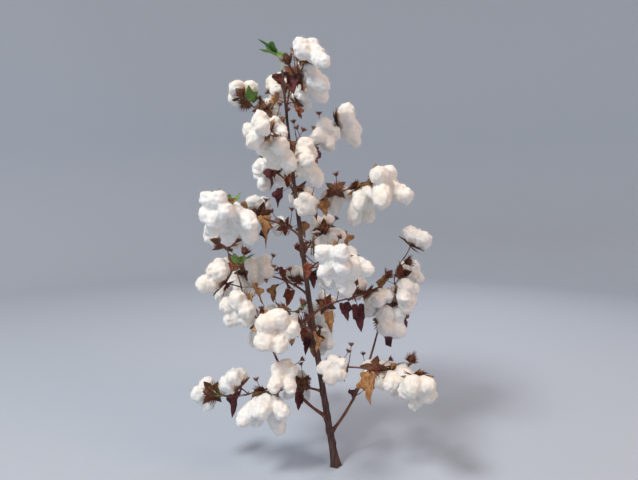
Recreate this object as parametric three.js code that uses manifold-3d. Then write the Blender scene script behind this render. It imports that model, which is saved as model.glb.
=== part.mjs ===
// A cotton plant at harvest: most of its leaves are shed and its bolls stand open.
// Millimetres, +Z up. The origin is the centre of the main stem's flat cut, at ground level.
import * as THREE from "three";
import { mergeVertices } from "three/addons/utils/BufferGeometryUtils.js";
import Module from "manifold-3d";

const wasm = await Module();
wasm.setup();

// Main stem
const STEM_HEIGHT = 1040;
const STEM_BASE_RADIUS = 9.5;
const STEM_TIP_RADIUS = 2.6;
const FLARE_RADIUS = 6;
const FLARE_HEIGHT = 24;
const LEAN_DEG = 10;
const LEAN_EASE = 0.25;
const SWAY = 12;
const SWAY_TURNS = 0.7;
const STEM_ROWS = 20;
const STEM_ROW_CROWDING = 1.3;
const STEM_SIDES = 8;

// Fruiting branches, from the lowest to the highest
const BOLLS_ON_BRANCH = [3, 3, 3, 3, 3, 3, 3, 3, 3, 3, 3, 3, 2, 2, 2, 1];
const LOWEST_BRANCH = 200;
const HIGHEST_BRANCH = 985;
const FIRST_AZIMUTH = 205;
const SPIRAL = 135;
const LOW_INTERNODE = 132;
const HIGH_INTERNODE = 62;
const LOW_ELEVATION = 16;
const HIGH_ELEVATION = 42;
const NEXT_INTERNODE_SHARE = 0.6;
const SHORTEST_INTERNODE = 64;
const BOUGH_ROOT_RISE = 16;
const BOUGH_RADIUS = 3.4;
const TWIG_RADIUS = 2.1;
const TWIG_TIP_RADIUS = 1.6;
const TOP_TWIG = 34;
const TWIG_ROWS = 3;
const ZIGZAG = 24;
const FALL = 9;
const AZIMUTH_JITTER = 14;
const ELEVATION_JITTER = 6;

// Two side stems that rise from the foot
const SIDE_STEMS = [
  { height: 88, azimuth: 50, elevation: 52, length: 290 },
  { height: 132, azimuth: 185, elevation: 55, length: 270 },
];
const SIDE_STEM_RADIUS = 4.6;
const SIDE_STEM_TIP_RADIUS = 2.6;
const SIDE_STEM_ROOT_RISE = -22;
const SIDE_STEM_FALL = -5;
const SIDE_STEM_BOLLS = 4;
const SIDE_STEM_INTERNODE = 82;

// How a boll is held: the share of each direction in its outward way, and its spread of sizes
const SIDEWAYS = [0.6, 1.1];
const SIDEWAYS_AT_TIP = [-0.3, 0.3];
const FORWARD = [0.1, 0.5];
const LIFT = [-0.35, 0.6];
const NOD = [-0.5, 1];
const BOLL_SPREAD = [0.92, 1.08];
const PEDICEL_SPREAD = [0.85, 1.2];
const PEDICEL = 30;
const SIDE_STEM_PEDICEL = 44;
const TOP_BOLL_SIZE = 0.87;

// An open boll: white locks that stand out of a woody burr with pointed valves
const LOCK_LENGTH = 50;
const LOCK_WIDTH = 44;
const LOCK_SPREAD = 50;
const LOCK_SAG = 0.14;
const LOCK_JITTER = 7;
const LOCK_LENGTH_SPREAD = [0.9, 1.1];
const LOCK_SAG_SPREAD = [0.6, 1.4];
const LOCK_WIDTH_SPREAD = [0.92, 1.08];
const STRUNG_SHARE = 0.3;
const STRUNG_LENGTH = 1.5;
const FOUR_LOCK_SHARE = 0.4;
const HUB_RADIUS = 12;
const BURR_DEPTH = 11;
const BURR_TOP = -3;
const VALVE_REACH = 37;
const VALVE_RISE = -5;
const VALVE_NOTCH = 9;
const VALVE_NOTCH_RISE = -7;
const VALVE_ROOM = 8;
const COLUMNS_PER_LOCK = 3;
const HEAD_ANGLES = [21, 52, 86];

// How thick a lock is, as shares of its width, at three shares of its length
const LOCK_SWELLS = [[0.34, 0.4], [0.6, 0.5], [0.8, 0.41]];

// Bolls that dried up closed, on short spurs
const CLOSED_SHARE = 0.5;
const CLOSED_LENGTH = 27;
const CLOSED_WIDTH = 20;
const CALYX_TIPS = 3;
const CALYX_REACH = 22;
const CALYX_NOTCH = 10;
const CALYX_RISE = 6;
const CALYX_LOW = -4;
const CALYX_HIGH = 3;
const SPUR = 42;
const SPUR_SPREAD = [0.8, 1.2];
const SPUR_TURN = 80;
const SPUR_FORWARD = 0.7;

// The leaves that are left: dry ones that hang, and small green ones at the tips
const DRY_LEAF = 52;
const DRY_LIFT = [-0.9, 0.2];
const DRY_HANG = 1.6;
const DRY_LEAF_SHARE = 0.5;
const GREEN_LEAF = 34;
const GREEN_LIFT = [0.3, 1];
const GREEN_SHARE = 0.4;
const GREEN_TUFT = 2;
const TOP_TUFT = 3;
const LEAF_SPREAD = [0.75, 1.15];
const LEAF_FORWARD = 0.4;
const STALK_SPREAD = [0.5, 0.8];
const LEAF_LOBES = 5;
const LOBE_REACH = 0.68;
const MIDDLE_LOBE_EXTRA = 0.3;
const NOTCH_REACH = 0.42;
const LEAF_THICKNESS = 1.4;
const BLADE_DROOP = 0.16;
const SINUS = 0.3;
const STALK_RADIUS = 1;

// The short green shoot that ends the main stem
const SHOOT_LENGTH = 38;
const SHOOT_AZIMUTH = 150;
const SHOOT_ELEVATION = 78;
const SHOOT_LEAF_SHARE = 0.85;
const SHOOT_LEAF_AZIMUTH = 20;
const SHOOT_LEAF_ELEVATION = 30;

// Room between pieces while the plant is laid out
const JOINT_GAP = 0.3;
const BEAD_STEP = 5;
const TWIG_MARGIN = 1.2;
const BOLL_MARGIN = 1.5;
const OWN_BOLL_OVERLAP = 0.86;
const OWN_TWIG_OVERLAP = 0.8;
const LOWEST_FRUIT = 25;
const ROOT_ZONE = 4;
const TRIES = 40;
const FLIP_EVERY = 4;

const BOW_PULL = 0.45;
const SEED = 20261;
const SEED_STEP = 7919;
const BOLL_SEED = 31;
const CLOSED_SEED = 47;
const LEAF_SEED = 67;
const SHOOT_SEED = 99;

const FULL_TURN = [0, 360];
const UP = new THREE.Vector3(0, 0, 1);
const SIDE = new THREE.Vector3(1, 0, 0);
const radians = THREE.MathUtils.degToRad;
const mix = THREE.MathUtils.lerp;

// Numbers from 0 to 1 that come out the same on every run
function seededNumbers(seed) {
  let state = seed >>> 0;
  return () => {
    state = (Math.imul(state, 1664525) + 1013904223) >>> 0;
    return state / 4294967296;
  };
}

function between(random, [low, high]) {
  return mix(low, high, random());
}

function jitter(random, most) {
  return between(random, [-most, most]);
}

// Angles are in degrees: azimuth from +X towards +Y, and elevation above level
function heading(azimuth, elevation) {
  const level = Math.cos(radians(elevation));
  return new THREE.Vector3(
    level * Math.cos(radians(azimuth)),
    level * Math.sin(radians(azimuth)),
    Math.sin(radians(elevation)),
  );
}

function ahead(point, direction, distance) {
  return point.clone().addScaledVector(direction, distance);
}

// A curve that leaves its start along direction and then turns to its end
function bow(start, direction, end) {
  const control = ahead(start, direction, start.distanceTo(end) * BOW_PULL);
  return new THREE.QuadraticBezierCurve3(start, control, end);
}

// The unit vector square to axis that lies nearest to direction
function squareTo(direction, axis) {
  return direction.clone().addScaledVector(axis, -direction.dot(axis)).normalize();
}

function steadyReference(axis) {
  return squareTo(Math.abs(axis.z) > 0.8 ? SIDE : UP, axis);
}

// Directions around an axis, counted in degrees from a steady reference
function around(axis, turn) {
  const u = steadyReference(axis);
  const v = new THREE.Vector3().crossVectors(axis, u);
  return u.multiplyScalar(Math.cos(radians(turn))).addScaledVector(v, Math.sin(radians(turn)));
}

// Main stem: it leans, eases upright towards its tip, and sways a little
function stemPoint(height) {
  const share = height / STEM_HEIGHT;
  const lean = Math.tan(radians(LEAN_DEG)) * height * (1 - LEAN_EASE * share);
  const sway = SWAY * Math.sin(2 * Math.PI * SWAY_TURNS * share);
  return new THREE.Vector3(-lean, sway, height);
}

function stemRadius(height) {
  const taper = mix(STEM_BASE_RADIUS, STEM_TIP_RADIUS, height / STEM_HEIGHT);
  return taper + FLARE_RADIUS * Math.exp(-height / FLARE_HEIGHT);
}

// Beads stand for the pieces while the plant is laid out: a new bead keeps clear of the
// beads of every other piece, and a boll also keeps off the bolls of its own twigs
const beads = [];

function beadsAlong(path, startRadius, endRadius) {
  const count = Math.max(2, Math.ceil(path.v0.distanceTo(path.v2) / BEAD_STEP));
  return Array.from({ length: count + 1 }, (_, i) => ({
    point: path.getPoint(i / count),
    radius: mix(startRadius, endRadius, i / count) + TWIG_MARGIN,
  }));
}

function stemBeads() {
  const count = Math.ceil(STEM_HEIGHT / BEAD_STEP);
  return Array.from({ length: count + 1 }, (_, i) => {
    const height = (STEM_HEIGHT * i) / count;
    return { point: stemPoint(height), radius: stemRadius(height) + TWIG_MARGIN };
  });
}

function roomNeeded(bead, taken, owner) {
  const touching = bead.radius + taken.radius;
  if (taken.owner !== owner) return touching;
  if (taken.boll && bead.boll) return touching * OWN_BOLL_OVERLAP;
  if (taken.twig && bead.boll) return touching * OWN_TWIG_OVERLAP;
  return taken.boll && bead.leaf ? touching : 0;
}

function isClear(candidates, owner) {
  return candidates.every((bead) =>
    beads.every((taken) => bead.point.distanceTo(taken.point) >= roomNeeded(bead, taken, owner)),
  );
}

function take(candidates, owner) {
  candidates.forEach((bead) => beads.push({ ...bead, owner }));
}

// Boughs leave the main stem, and each has one mass of twigs that grows on from its tip
function branchLayouts() {
  const last = BOLLS_ON_BRANCH.length - 1;
  return BOLLS_ON_BRANCH.map((bolls, i) => {
    const share = i / last;
    const number = String(i + 1).padStart(2, "0");
    const length = mix(LOW_INTERNODE, HIGH_INTERNODE, share);
    return {
      name: `branch_${number}`,
      massName: `boll_spray_${number}`,
      seed: SEED + i * SEED_STEP,
      height: mix(LOWEST_BRANCH, HIGHEST_BRANCH, share),
      azimuth: FIRST_AZIMUTH + SPIRAL * i,
      elevation: mix(LOW_ELEVATION, HIGH_ELEVATION, share),
      rootRise: BOUGH_ROOT_RISE,
      length,
      bolls,
      twigCount: Math.max(1, bolls - 1),
      twigLength: bolls > 1 ? Math.max(SHORTEST_INTERNODE, length * NEXT_INTERNODE_SHARE) : TOP_TWIG,
      fall: FALL,
      rootRadius: mix(BOUGH_RADIUS, TWIG_RADIUS + 0.4, share),
      tipRadius: TWIG_RADIUS,
      pedicel: PEDICEL,
      bollSize: mix(1, TOP_BOLL_SIZE, share),
    };
  });
}

function sideStemLayouts() {
  return SIDE_STEMS.map((sideStem, i) => ({
    ...sideStem,
    name: `side_stem_${i + 1}`,
    massName: `side_spray_${i + 1}`,
    seed: SEED - (i + 1) * SEED_STEP,
    rootRise: SIDE_STEM_ROOT_RISE,
    bolls: SIDE_STEM_BOLLS,
    twigCount: SIDE_STEM_BOLLS - 1,
    twigLength: SIDE_STEM_INTERNODE,
    fall: SIDE_STEM_FALL,
    rootRadius: SIDE_STEM_RADIUS,
    tipRadius: SIDE_STEM_TIP_RADIUS,
    pedicel: SIDE_STEM_PEDICEL,
    bollSize: 1,
  }));
}

// One twig after another, each turned to the other side and a little lower
function zigzag(start, direction, azimuth, elevation, layout, hand) {
  const twigs = [];
  let point = start;
  let along = direction;
  for (let i = 0; i < layout.twigCount; i++) {
    const turn = (i % 2 ? -1 : 1) * hand * ZIGZAG;
    const towards = heading(azimuth + turn, elevation - layout.fall * (i + 1));
    const twig = bow(point, along, ahead(point, towards, layout.twigLength));
    twigs.push(twig);
    point = twig.getPoint(1);
    along = twig.getTangent(1);
  }
  return twigs;
}

function planLimb(layout) {
  const random = seededNumbers(layout.seed);
  for (let attempt = 0; attempt < TRIES; attempt++) {
    const azimuth = layout.azimuth + jitter(random, AZIMUTH_JITTER);
    const elevation = layout.elevation + jitter(random, ELEVATION_JITTER);
    const hand = random() < 0.5 ? -1 : 1;
    const root = stemPoint(layout.height);
    const tip = ahead(root, heading(azimuth, elevation), layout.length);
    const bough = bow(root, heading(azimuth, elevation + layout.rootRise), tip);
    const direction = bough.getTangent(1);
    const start = ahead(tip, direction, JOINT_GAP);
    const twigs = zigzag(start, direction, azimuth, elevation, layout, hand);
    const boughBeads = beadsAlong(bough, layout.rootRadius, layout.tipRadius);
    const twigBeads = twigs.flatMap((twig) => beadsAlong(twig, TWIG_RADIUS, TWIG_TIP_RADIUS));
    const freeBeads = boughBeads.slice(Math.ceil((ROOT_ZONE * layout.rootRadius) / BEAD_STEP) + 1);
    if (!isClear([...freeBeads, ...twigBeads], layout.name)) continue;
    take(boughBeads, layout.name);
    take(twigBeads.map((bead) => ({ ...bead, twig: true })), layout.massName);
    return { layout, bough, twigs, hand, bolls: [], closed: [], leaves: [] };
  }
  return null;
}

// The nodes of the zigzag, the first of them a step beyond the bough, and its very tip
function sitesOf({ twigs }) {
  const nodes = twigs.map((twig, i) => {
    const t = i ? 0 : 1 / TWIG_ROWS;
    return { point: twig.getPoint(t), direction: twig.getTangent(t), tip: false };
  });
  const outer = twigs[twigs.length - 1];
  return [...nodes, { point: outer.getPoint(1), direction: outer.getTangent(1), tip: true }];
}

function drawBoll(random, site, side, layout) {
  const sideways = site.tip ? between(random, SIDEWAYS_AT_TIP) : side * between(random, SIDEWAYS);
  const forward = site.tip ? 1 : between(random, FORWARD);
  const lift = between(random, LIFT);
  const nod = between(random, NOD);
  const size = layout.bollSize * between(random, BOLL_SPREAD);
  const reach = layout.pedicel * between(random, PEDICEL_SPREAD);
  const strung = random() < STRUNG_SHARE;
  const lockCount = random() < FOUR_LOCK_SHARE ? 4 : 5;
  const roll = between(random, FULL_TURN);
  const across = new THREE.Vector3().crossVectors(site.direction, UP).normalize();
  const outward = site.direction.clone().multiplyScalar(forward)
    .addScaledVector(across, sideways)
    .addScaledVector(UP, lift)
    .normalize();
  const centre = ahead(site.point, outward, reach);
  const axis = outward.clone().addScaledVector(UP, -nod).normalize();
  const foot = ahead(centre, axis, -0.8 * BURR_DEPTH * size);
  return {
    pedicel: bow(site.point, site.tip ? site.direction : outward, foot),
    centre,
    axis,
    size,
    strung,
    lockCount,
    roll,
  };
}

// Each lock leans out from the boll's axis and sags at its tip, and the low ones of some
// bolls are strung out longer
function drawLocks(random, { centre, axis, size, strung, lockCount, roll }) {
  return Array.from({ length: lockCount }, (_, i) => {
    const turn = roll + (360 / lockCount) * i + jitter(random, LOCK_JITTER);
    const spread = radians(LOCK_SPREAD + jitter(random, LOCK_JITTER));
    const direction = axis.clone().multiplyScalar(Math.cos(spread))
      .addScaledVector(around(axis, turn), Math.sin(spread));
    const stretch = strung && direction.z < 0 ? STRUNG_LENGTH : 1;
    const length = LOCK_LENGTH * size * stretch * between(random, LOCK_LENGTH_SPREAD);
    const droop = length * LOCK_SAG * stretch * between(random, LOCK_SAG_SPREAD);
    const width = LOCK_WIDTH * size * between(random, LOCK_WIDTH_SPREAD);
    const tip = ahead(ahead(centre, direction, length), UP, -droop);
    return { path: bow(centre, direction, tip), width };
  });
}

function lockBeads({ path, width }) {
  return LOCK_SWELLS.map(([t, share]) => ({
    point: path.getPoint(t),
    radius: width * share,
    boll: true,
  }));
}

// The tips of the burr's valves lie in between the locks
function valveBeads({ centre, axis, size, lockCount, roll }) {
  return Array.from({ length: lockCount }, (_, i) => {
    const out = around(axis, roll + (360 / lockCount) * (i + 0.5));
    return { point: ahead(centre, out, VALVE_REACH * 0.8 * size), radius: VALVE_ROOM };
  });
}

function bollBeads(boll) {
  const hub = { point: boll.centre, radius: HUB_RADIUS * boll.size, boll: true };
  const stalk = beadsAlong(boll.pedicel, TWIG_RADIUS, TWIG_RADIUS).slice(2);
  return [hub, ...boll.locks.flatMap(lockBeads), ...valveBeads(boll), ...stalk];
}

function withMargin(bead) {
  return { ...bead, radius: bead.radius + BOLL_MARGIN };
}

function planBolls(limb) {
  const random = seededNumbers(limb.layout.seed + BOLL_SEED);
  sitesOf(limb).slice(-limb.layout.bolls).forEach((site, i) => {
    const side = (i % 2 ? 1 : -1) * limb.hand;
    for (let attempt = 0; attempt < TRIES; attempt++) {
      const flip = attempt % FLIP_EVERY === FLIP_EVERY - 1 ? -1 : 1;
      const boll = drawBoll(random, site, side * flip, limb.layout);
      boll.locks = drawLocks(random, boll);
      const own = bollBeads(boll).map(withMargin);
      const low = Math.min(...own.map(({ point, radius }) => point.z - radius));
      if (low < LOWEST_FRUIT || !isClear(own, limb.layout.massName)) continue;
      take(own, limb.layout.massName);
      limb.bolls.push(boll);
      return;
    }
  });
}

// A closed boll stands on a short spur off the last twig
function planClosedBoll(limb) {
  const random = seededNumbers(limb.layout.seed + CLOSED_SEED);
  if (limb.layout.bolls < 2 || random() > CLOSED_SHARE) return;
  const outer = limb.twigs[limb.twigs.length - 1];
  const point = outer.getPoint(2 / TWIG_ROWS);
  const along = outer.getTangent(2 / TWIG_ROWS);
  for (let attempt = 0; attempt < TRIES; attempt++) {
    const side = around(along, jitter(random, SPUR_TURN));
    const direction = side.addScaledVector(along, SPUR_FORWARD).normalize();
    const centre = ahead(point, direction, SPUR * between(random, SPUR_SPREAD));
    const spur = bow(point, direction, centre);
    const body = { point: ahead(centre, direction, CLOSED_LENGTH / 2), radius: CLOSED_WIDTH * 0.6 };
    const own = [body, ...beadsAlong(spur, TWIG_RADIUS, TWIG_RADIUS).slice(3)];
    const free = own.map((bead) => ({ ...bead, leaf: true }));
    if (!isClear(free, limb.layout.massName)) continue;
    take(own, limb.layout.massName);
    limb.closed.push({ spur, centre, axis: direction });
    return;
  }
}

// A leaf: a stalk, then a blade that hangs if it is dry and spreads if it is green
function drawLeaf(random, site, green) {
  const reach = (green ? GREEN_LEAF : DRY_LEAF) * between(random, LEAF_SPREAD);
  const stalkLength = reach * between(random, STALK_SPREAD);
  const lift = between(random, green ? GREEN_LIFT : DRY_LIFT);
  const swing = heading(between(random, FULL_TURN), 0);
  const out = site.direction.clone().multiplyScalar(LEAF_FORWARD).add(swing)
    .addScaledVector(UP, lift)
    .normalize();
  const base = ahead(site.point, out, stalkLength);
  const along = out.clone().addScaledVector(UP, green ? 0 : -DRY_HANG).normalize();
  const face = squareTo(green ? UP : swing, along);
  return { stalk: bow(site.point, out, base), base, along, face, reach, green };
}

function leafBeads({ stalk, base, along, reach }) {
  const blade = [0.25, 0.7].map((share) => ({
    point: ahead(base, along, reach * share),
    radius: reach * 0.3,
    leaf: true,
  }));
  const stem = beadsAlong(stalk, STALK_RADIUS, STALK_RADIUS).slice(2);
  return [...blade, ...stem];
}

function planLeaves(limb) {
  const random = seededNumbers(limb.layout.seed + LEAF_SEED);
  sitesOf(limb).forEach((site) => {
    if (random() > (site.tip ? GREEN_SHARE : DRY_LEAF_SHARE)) return;
    let wanted = site.tip ? GREEN_TUFT : 1;
    for (let attempt = 0; attempt < TRIES && wanted; attempt++) {
      const leaf = drawLeaf(random, site, site.tip);
      const own = leafBeads(leaf);
      if (!isClear(own, limb.layout.massName)) continue;
      take(own, limb.layout.massName);
      limb.leaves.push(leaf);
      wanted -= 1;
    }
  });
}

function planTopShoot() {
  const random = seededNumbers(SEED + SHOOT_SEED);
  const root = ahead(stemPoint(STEM_HEIGHT), UP, JOINT_GAP);
  const path = bow(root, UP, ahead(root, heading(SHOOT_AZIMUTH, SHOOT_ELEVATION), SHOOT_LENGTH));
  const leaves = Array.from({ length: TOP_TUFT }, (_, i) => {
    const azimuth = SHOOT_LEAF_AZIMUTH + (360 / TOP_TUFT) * i;
    const direction = heading(azimuth, SHOOT_LEAF_ELEVATION);
    return drawLeaf(random, { point: path.getPoint(SHOOT_LEAF_SHARE), direction }, true);
  });
  return { path, leaves };
}

// A geometry becomes a solid once its shared vertices are merged and empty faces dropped
function solidFrom(geometry) {
  const bare = new THREE.BufferGeometry();
  bare.setAttribute("position", geometry.getAttribute("position"));
  bare.setIndex(geometry.index);
  const merged = mergeVertices(bare, 1e-3);
  const corners = [];
  for (let i = 0; i < merged.index.count; i += 3) {
    const [a, b, c] = [0, 1, 2].map((k) => merged.index.getX(i + k));
    if (a !== b && b !== c && c !== a) corners.push(a, b, c);
  }
  const vertProperties = merged.getAttribute("position").array;
  const triVerts = new Uint32Array(corners);
  return new wasm.Manifold(new wasm.Mesh({ numProp: 3, vertProperties, triVerts }));
}

function moveVertices(geometry, move) {
  const position = geometry.getAttribute("position");
  const vertex = new THREE.Vector3();
  for (let i = 0; i < position.count; i++) {
    const moved = move(vertex.fromBufferAttribute(position, i), i);
    position.setXYZ(i, moved.x, moved.y, moved.z);
  }
  return geometry;
}

// A turned body: its profile holds pairs of radius and height along Y
function turned(profile, sides) {
  const points = profile.map(([radius, y]) => new THREE.Vector2(radius, y));
  return new THREE.LatheGeometry(points, sides);
}

// A tapering limb along a path
function limbSolid(path, startRadius, endRadius, sides, rows) {
  const tube = new THREE.CylinderGeometry(endRadius, startRadius, 1, sides, rows);
  const reference = steadyReference(path.getTangent(0));
  const laid = moveVertices(tube, ({ x, y, z }) => {
    const t = y + 0.5;
    const along = path.getTangent(t);
    const across = squareTo(reference, along);
    const third = new THREE.Vector3().crossVectors(across, along);
    return ahead(ahead(path.getPoint(t), across, x), third, z);
  });
  return solidFrom(laid);
}

function stemSolid(extraRadius) {
  const rows = Array.from({ length: STEM_ROWS + 1 }, (_, i) => {
    const height = STEM_HEIGHT * (i / STEM_ROWS) ** STEM_ROW_CROWDING;
    return [stemRadius(height) + extraRadius, height];
  });
  const bar = turned([[0, 0], ...rows, [0, STEM_HEIGHT]], STEM_SIDES);
  const laid = moveVertices(bar, ({ x, y, z }) => {
    const centre = stemPoint(y);
    return new THREE.Vector3(centre.x + x, centre.y - z, centre.z);
  });
  return solidFrom(laid);
}

// The frame of a boll: Y runs along its axis, and Z to the first turn
function frameOf(centre, axis, turn) {
  const first = around(axis, turn);
  const third = new THREE.Vector3().crossVectors(axis, first);
  return new THREE.Matrix4().makeBasis(third, axis, first).setPosition(centre);
}

// How far a line from the centre runs before it has left the last bead
function wayOut(centre, direction, wrapped, least) {
  return wrapped.reduce((furthest, { point, radius }) => {
    const offset = point.clone().sub(centre);
    const along = offset.dot(direction);
    const room = radius ** 2 - (offset.lengthSq() - along ** 2);
    return room > 0 ? Math.max(furthest, along + Math.sqrt(room)) : furthest;
  }, least);
}

// The white head of a boll wraps its locks, and dips in between them
function headSolid(boll) {
  const angles = [0, ...HEAD_ANGLES, 180].reverse();
  const profile = angles.map((angle) => [Math.sin(radians(angle)), Math.cos(radians(angle))]);
  const globe = turned(profile, boll.lockCount * COLUMNS_PER_LOCK);
  const wrapped = boll.locks.flatMap(lockBeads);
  const firstColumn = boll.roll + 180 / (boll.lockCount * COLUMNS_PER_LOCK);
  const frame = new THREE.Matrix4().extractRotation(frameOf(boll.centre, boll.axis, firstColumn));
  const laid = moveVertices(globe, (vertex) => {
    const direction = vertex.applyMatrix4(frame).normalize();
    const reach = wayOut(boll.centre, direction, wrapped, 0.7 * HUB_RADIUS * boll.size);
    return ahead(boll.centre, direction, reach);
  });
  return solidFrom(laid);
}

// A thin star: its rim runs out to the tips and back in to the notches
function starSolid(centre, axis, turn, { tips, low, high, rim }) {
  const disc = turned([[0, low], [1, 0], [0, high]], tips * 2);
  const shaped = moveVertices(disc, (vertex) => {
    const radius = Math.hypot(vertex.x, vertex.z);
    if (radius < 0.5) return vertex;
    const angle = Math.atan2(vertex.x, vertex.z);
    const { reach, rise } = rim(Math.cos(angle * tips) > 0);
    return vertex.set(vertex.x * reach, rise, vertex.z * reach);
  });
  shaped.applyMatrix4(frameOf(centre, axis, turn));
  return solidFrom(shaped);
}

function burrSolid({ centre, axis, size, lockCount, roll }) {
  return starSolid(centre, axis, roll + 180 / lockCount, {
    tips: lockCount,
    low: -BURR_DEPTH * size,
    high: BURR_TOP * size,
    rim: (isTip) => ({
      reach: (isTip ? VALVE_REACH : VALVE_NOTCH) * size,
      rise: (isTip ? VALVE_RISE : VALVE_NOTCH_RISE) * size,
    }),
  });
}

function calyxSolid({ centre, axis }) {
  return starSolid(centre, axis, 0, {
    tips: CALYX_TIPS,
    low: CALYX_LOW,
    high: CALYX_HIGH,
    rim: (isTip) => ({ reach: isTip ? CALYX_REACH : CALYX_NOTCH, rise: isTip ? CALYX_RISE : 0 }),
  });
}

function bollSolids(boll) {
  const pedicel = limbSolid(boll.pedicel, TWIG_RADIUS, TWIG_RADIUS, 3, 1);
  return [pedicel, headSolid(boll), burrSolid(boll)];
}

function closedBollSolids(closed) {
  const half = CLOSED_WIDTH / 2;
  const profile = [[0, -2], [half, CLOSED_LENGTH * 0.3], [half * 0.7, CLOSED_LENGTH * 0.75]];
  const body = turned([...profile, [0, CLOSED_LENGTH]], 6);
  body.applyMatrix4(frameOf(closed.centre, closed.axis, 0));
  const spur = limbSolid(closed.spur, TWIG_TIP_RADIUS, TWIG_TIP_RADIUS, 3, 1);
  return [spur, solidFrom(body), calyxSolid(closed)];
}

// The lobe straight ahead is the longest, and the blade bends down towards its rim
function leafSolids({ stalk, base, along, face, reach }) {
  const third = new THREE.Vector3().crossVectors(face, along);
  const centre = ahead(ahead(base, along, reach * SINUS), face, reach * SINUS * BLADE_DROOP);
  const placed = new THREE.Matrix4().makeBasis(third, face, along).setPosition(centre);
  const blade = turned([[0, -LEAF_THICKNESS / 2], [1, 0], [0, LEAF_THICKNESS / 2]], LEAF_LOBES * 2);
  moveVertices(blade, (vertex) => {
    if (Math.hypot(vertex.x, vertex.z) < 0.5) return vertex;
    const isTip = Math.cos(Math.atan2(vertex.x, vertex.z) * LEAF_LOBES) > 0;
    const rim = reach * (isTip ? LOBE_REACH + MIDDLE_LOBE_EXTRA * vertex.z : NOTCH_REACH);
    return vertex.set(vertex.x * rim, -BLADE_DROOP * rim, vertex.z * rim);
  });
  blade.applyMatrix4(placed);
  return [limbSolid(stalk, STALK_RADIUS, STALK_RADIUS, 3, 1), solidFrom(blade)];
}

// Fusing can seal a tiny hollow, and only the outer body is kept
function fused(solids) {
  const bodies = wasm.Manifold.union(solids).decompose();
  return bodies.reduce((largest, body) => (body.volume() > largest.volume() ? body : largest));
}

function massSolid({ layout, twigs, bolls, closed, leaves }) {
  const radiusAt = (i) => mix(layout.tipRadius, TWIG_TIP_RADIUS, i / layout.twigCount);
  return fused([
    ...twigs.map((twig, i) => limbSolid(twig, radiusAt(i), radiusAt(i + 1), 3, TWIG_ROWS)),
    ...bolls.flatMap(bollSolids),
    ...closed.flatMap(closedBollSolids),
    ...leaves.flatMap(leafSolids),
  ]);
}

function boughSolid({ layout, bough }, stemRoom) {
  return limbSolid(bough, layout.rootRadius, layout.tipRadius, 5, 4).subtract(stemRoom);
}

function shootSolid({ path, leaves }) {
  const shoot = limbSolid(path, STEM_TIP_RADIUS, TWIG_TIP_RADIUS, 5, 2);
  return fused([shoot, ...leaves.flatMap(leafSolids)]);
}

function named(name, solid, material) {
  const { vertProperties, triVerts } = solid.getMesh();
  const geometry = new THREE.BufferGeometry();
  geometry.setAttribute("position", new THREE.BufferAttribute(vertProperties, 3));
  geometry.setIndex(new THREE.BufferAttribute(triVerts, 1));
  geometry.computeVertexNormals();
  const mesh = new THREE.Mesh(geometry, material);
  mesh.name = name;
  return mesh;
}

// The plan: stem, top shoot, boughs with their twigs, then what sits on the twigs
take(stemBeads(), "main_stem");
const topShoot = planTopShoot();
take(topShoot.leaves.flatMap(leafBeads), "top_shoot");
const layouts = [...sideStemLayouts(), ...branchLayouts()];
const limbs = layouts.map(planLimb).filter((limb) => limb !== null);
limbs.forEach(planBolls);
limbs.forEach(planClosedBoll);
limbs.forEach(planLeaves);

const stemBark = new THREE.MeshStandardMaterial({ color: 0x4a2f2b, roughness: 0.8 });
const branchBark = new THREE.MeshStandardMaterial({ color: 0x6b4030, roughness: 0.75 });
const cottonLint = new THREE.MeshStandardMaterial({ color: 0xf4f0ea, roughness: 1 });
const greenLeaf = new THREE.MeshStandardMaterial({ color: 0x4f8a2c, roughness: 0.6 });

const plant = new THREE.Group();
plant.add(named("main_stem", stemSolid(0), stemBark));
const stemRoom = stemSolid(JOINT_GAP);
limbs.forEach((limb) => {
  plant.add(named(limb.layout.name, boughSolid(limb, stemRoom), branchBark));
  plant.add(named(limb.layout.massName, massSolid(limb), cottonLint));
});
plant.add(named("top_shoot", shootSolid(topShoot), greenLeaf));

export default plant;
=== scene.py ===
# %% [markdown]
# # A cotton plant at harvest
# A ripe cotton plant is a thin brown skeleton that carries white puffs. The solids that this
# lesson loads have the right places and sizes, but flat faces. Each step replaces one kind of
# solid with a finished surface: bark, burrs, bracts, leaves and lint. All of it is grown again
# from the same seeded rule as the solids, so that every surface lands where its solid stands.

# %% Load the solids
import math
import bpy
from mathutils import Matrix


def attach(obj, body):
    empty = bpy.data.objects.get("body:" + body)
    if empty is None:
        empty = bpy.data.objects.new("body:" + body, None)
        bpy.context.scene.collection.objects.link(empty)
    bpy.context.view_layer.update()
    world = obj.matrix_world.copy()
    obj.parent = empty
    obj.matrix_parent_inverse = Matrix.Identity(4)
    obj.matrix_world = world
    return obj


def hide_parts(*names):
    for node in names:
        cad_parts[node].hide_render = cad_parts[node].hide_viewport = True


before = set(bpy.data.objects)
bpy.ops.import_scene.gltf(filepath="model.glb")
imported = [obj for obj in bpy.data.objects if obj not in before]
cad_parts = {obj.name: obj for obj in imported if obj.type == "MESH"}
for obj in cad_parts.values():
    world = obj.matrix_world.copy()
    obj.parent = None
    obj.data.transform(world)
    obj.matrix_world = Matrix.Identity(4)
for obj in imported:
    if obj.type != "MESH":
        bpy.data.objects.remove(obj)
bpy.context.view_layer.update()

from types import SimpleNamespace

import bpy
import numpy as np
from mathutils import Vector

# %% [markdown]
# ## The view
# The photograph looks as if it was taken with a wide lens, from a little above the middle of the
# plant and pointed slightly down. A wide lens close by makes the near bolls large. A like lens and
# tilt are used here, at the distance where the whole plant fits.

# %% Camera
LENS_MM = 28
SENSOR_MM = 36
CAMERA_PLACE = (-0.045, -1.29, 0.71)
TILT_DOWN = 4.4

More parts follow.
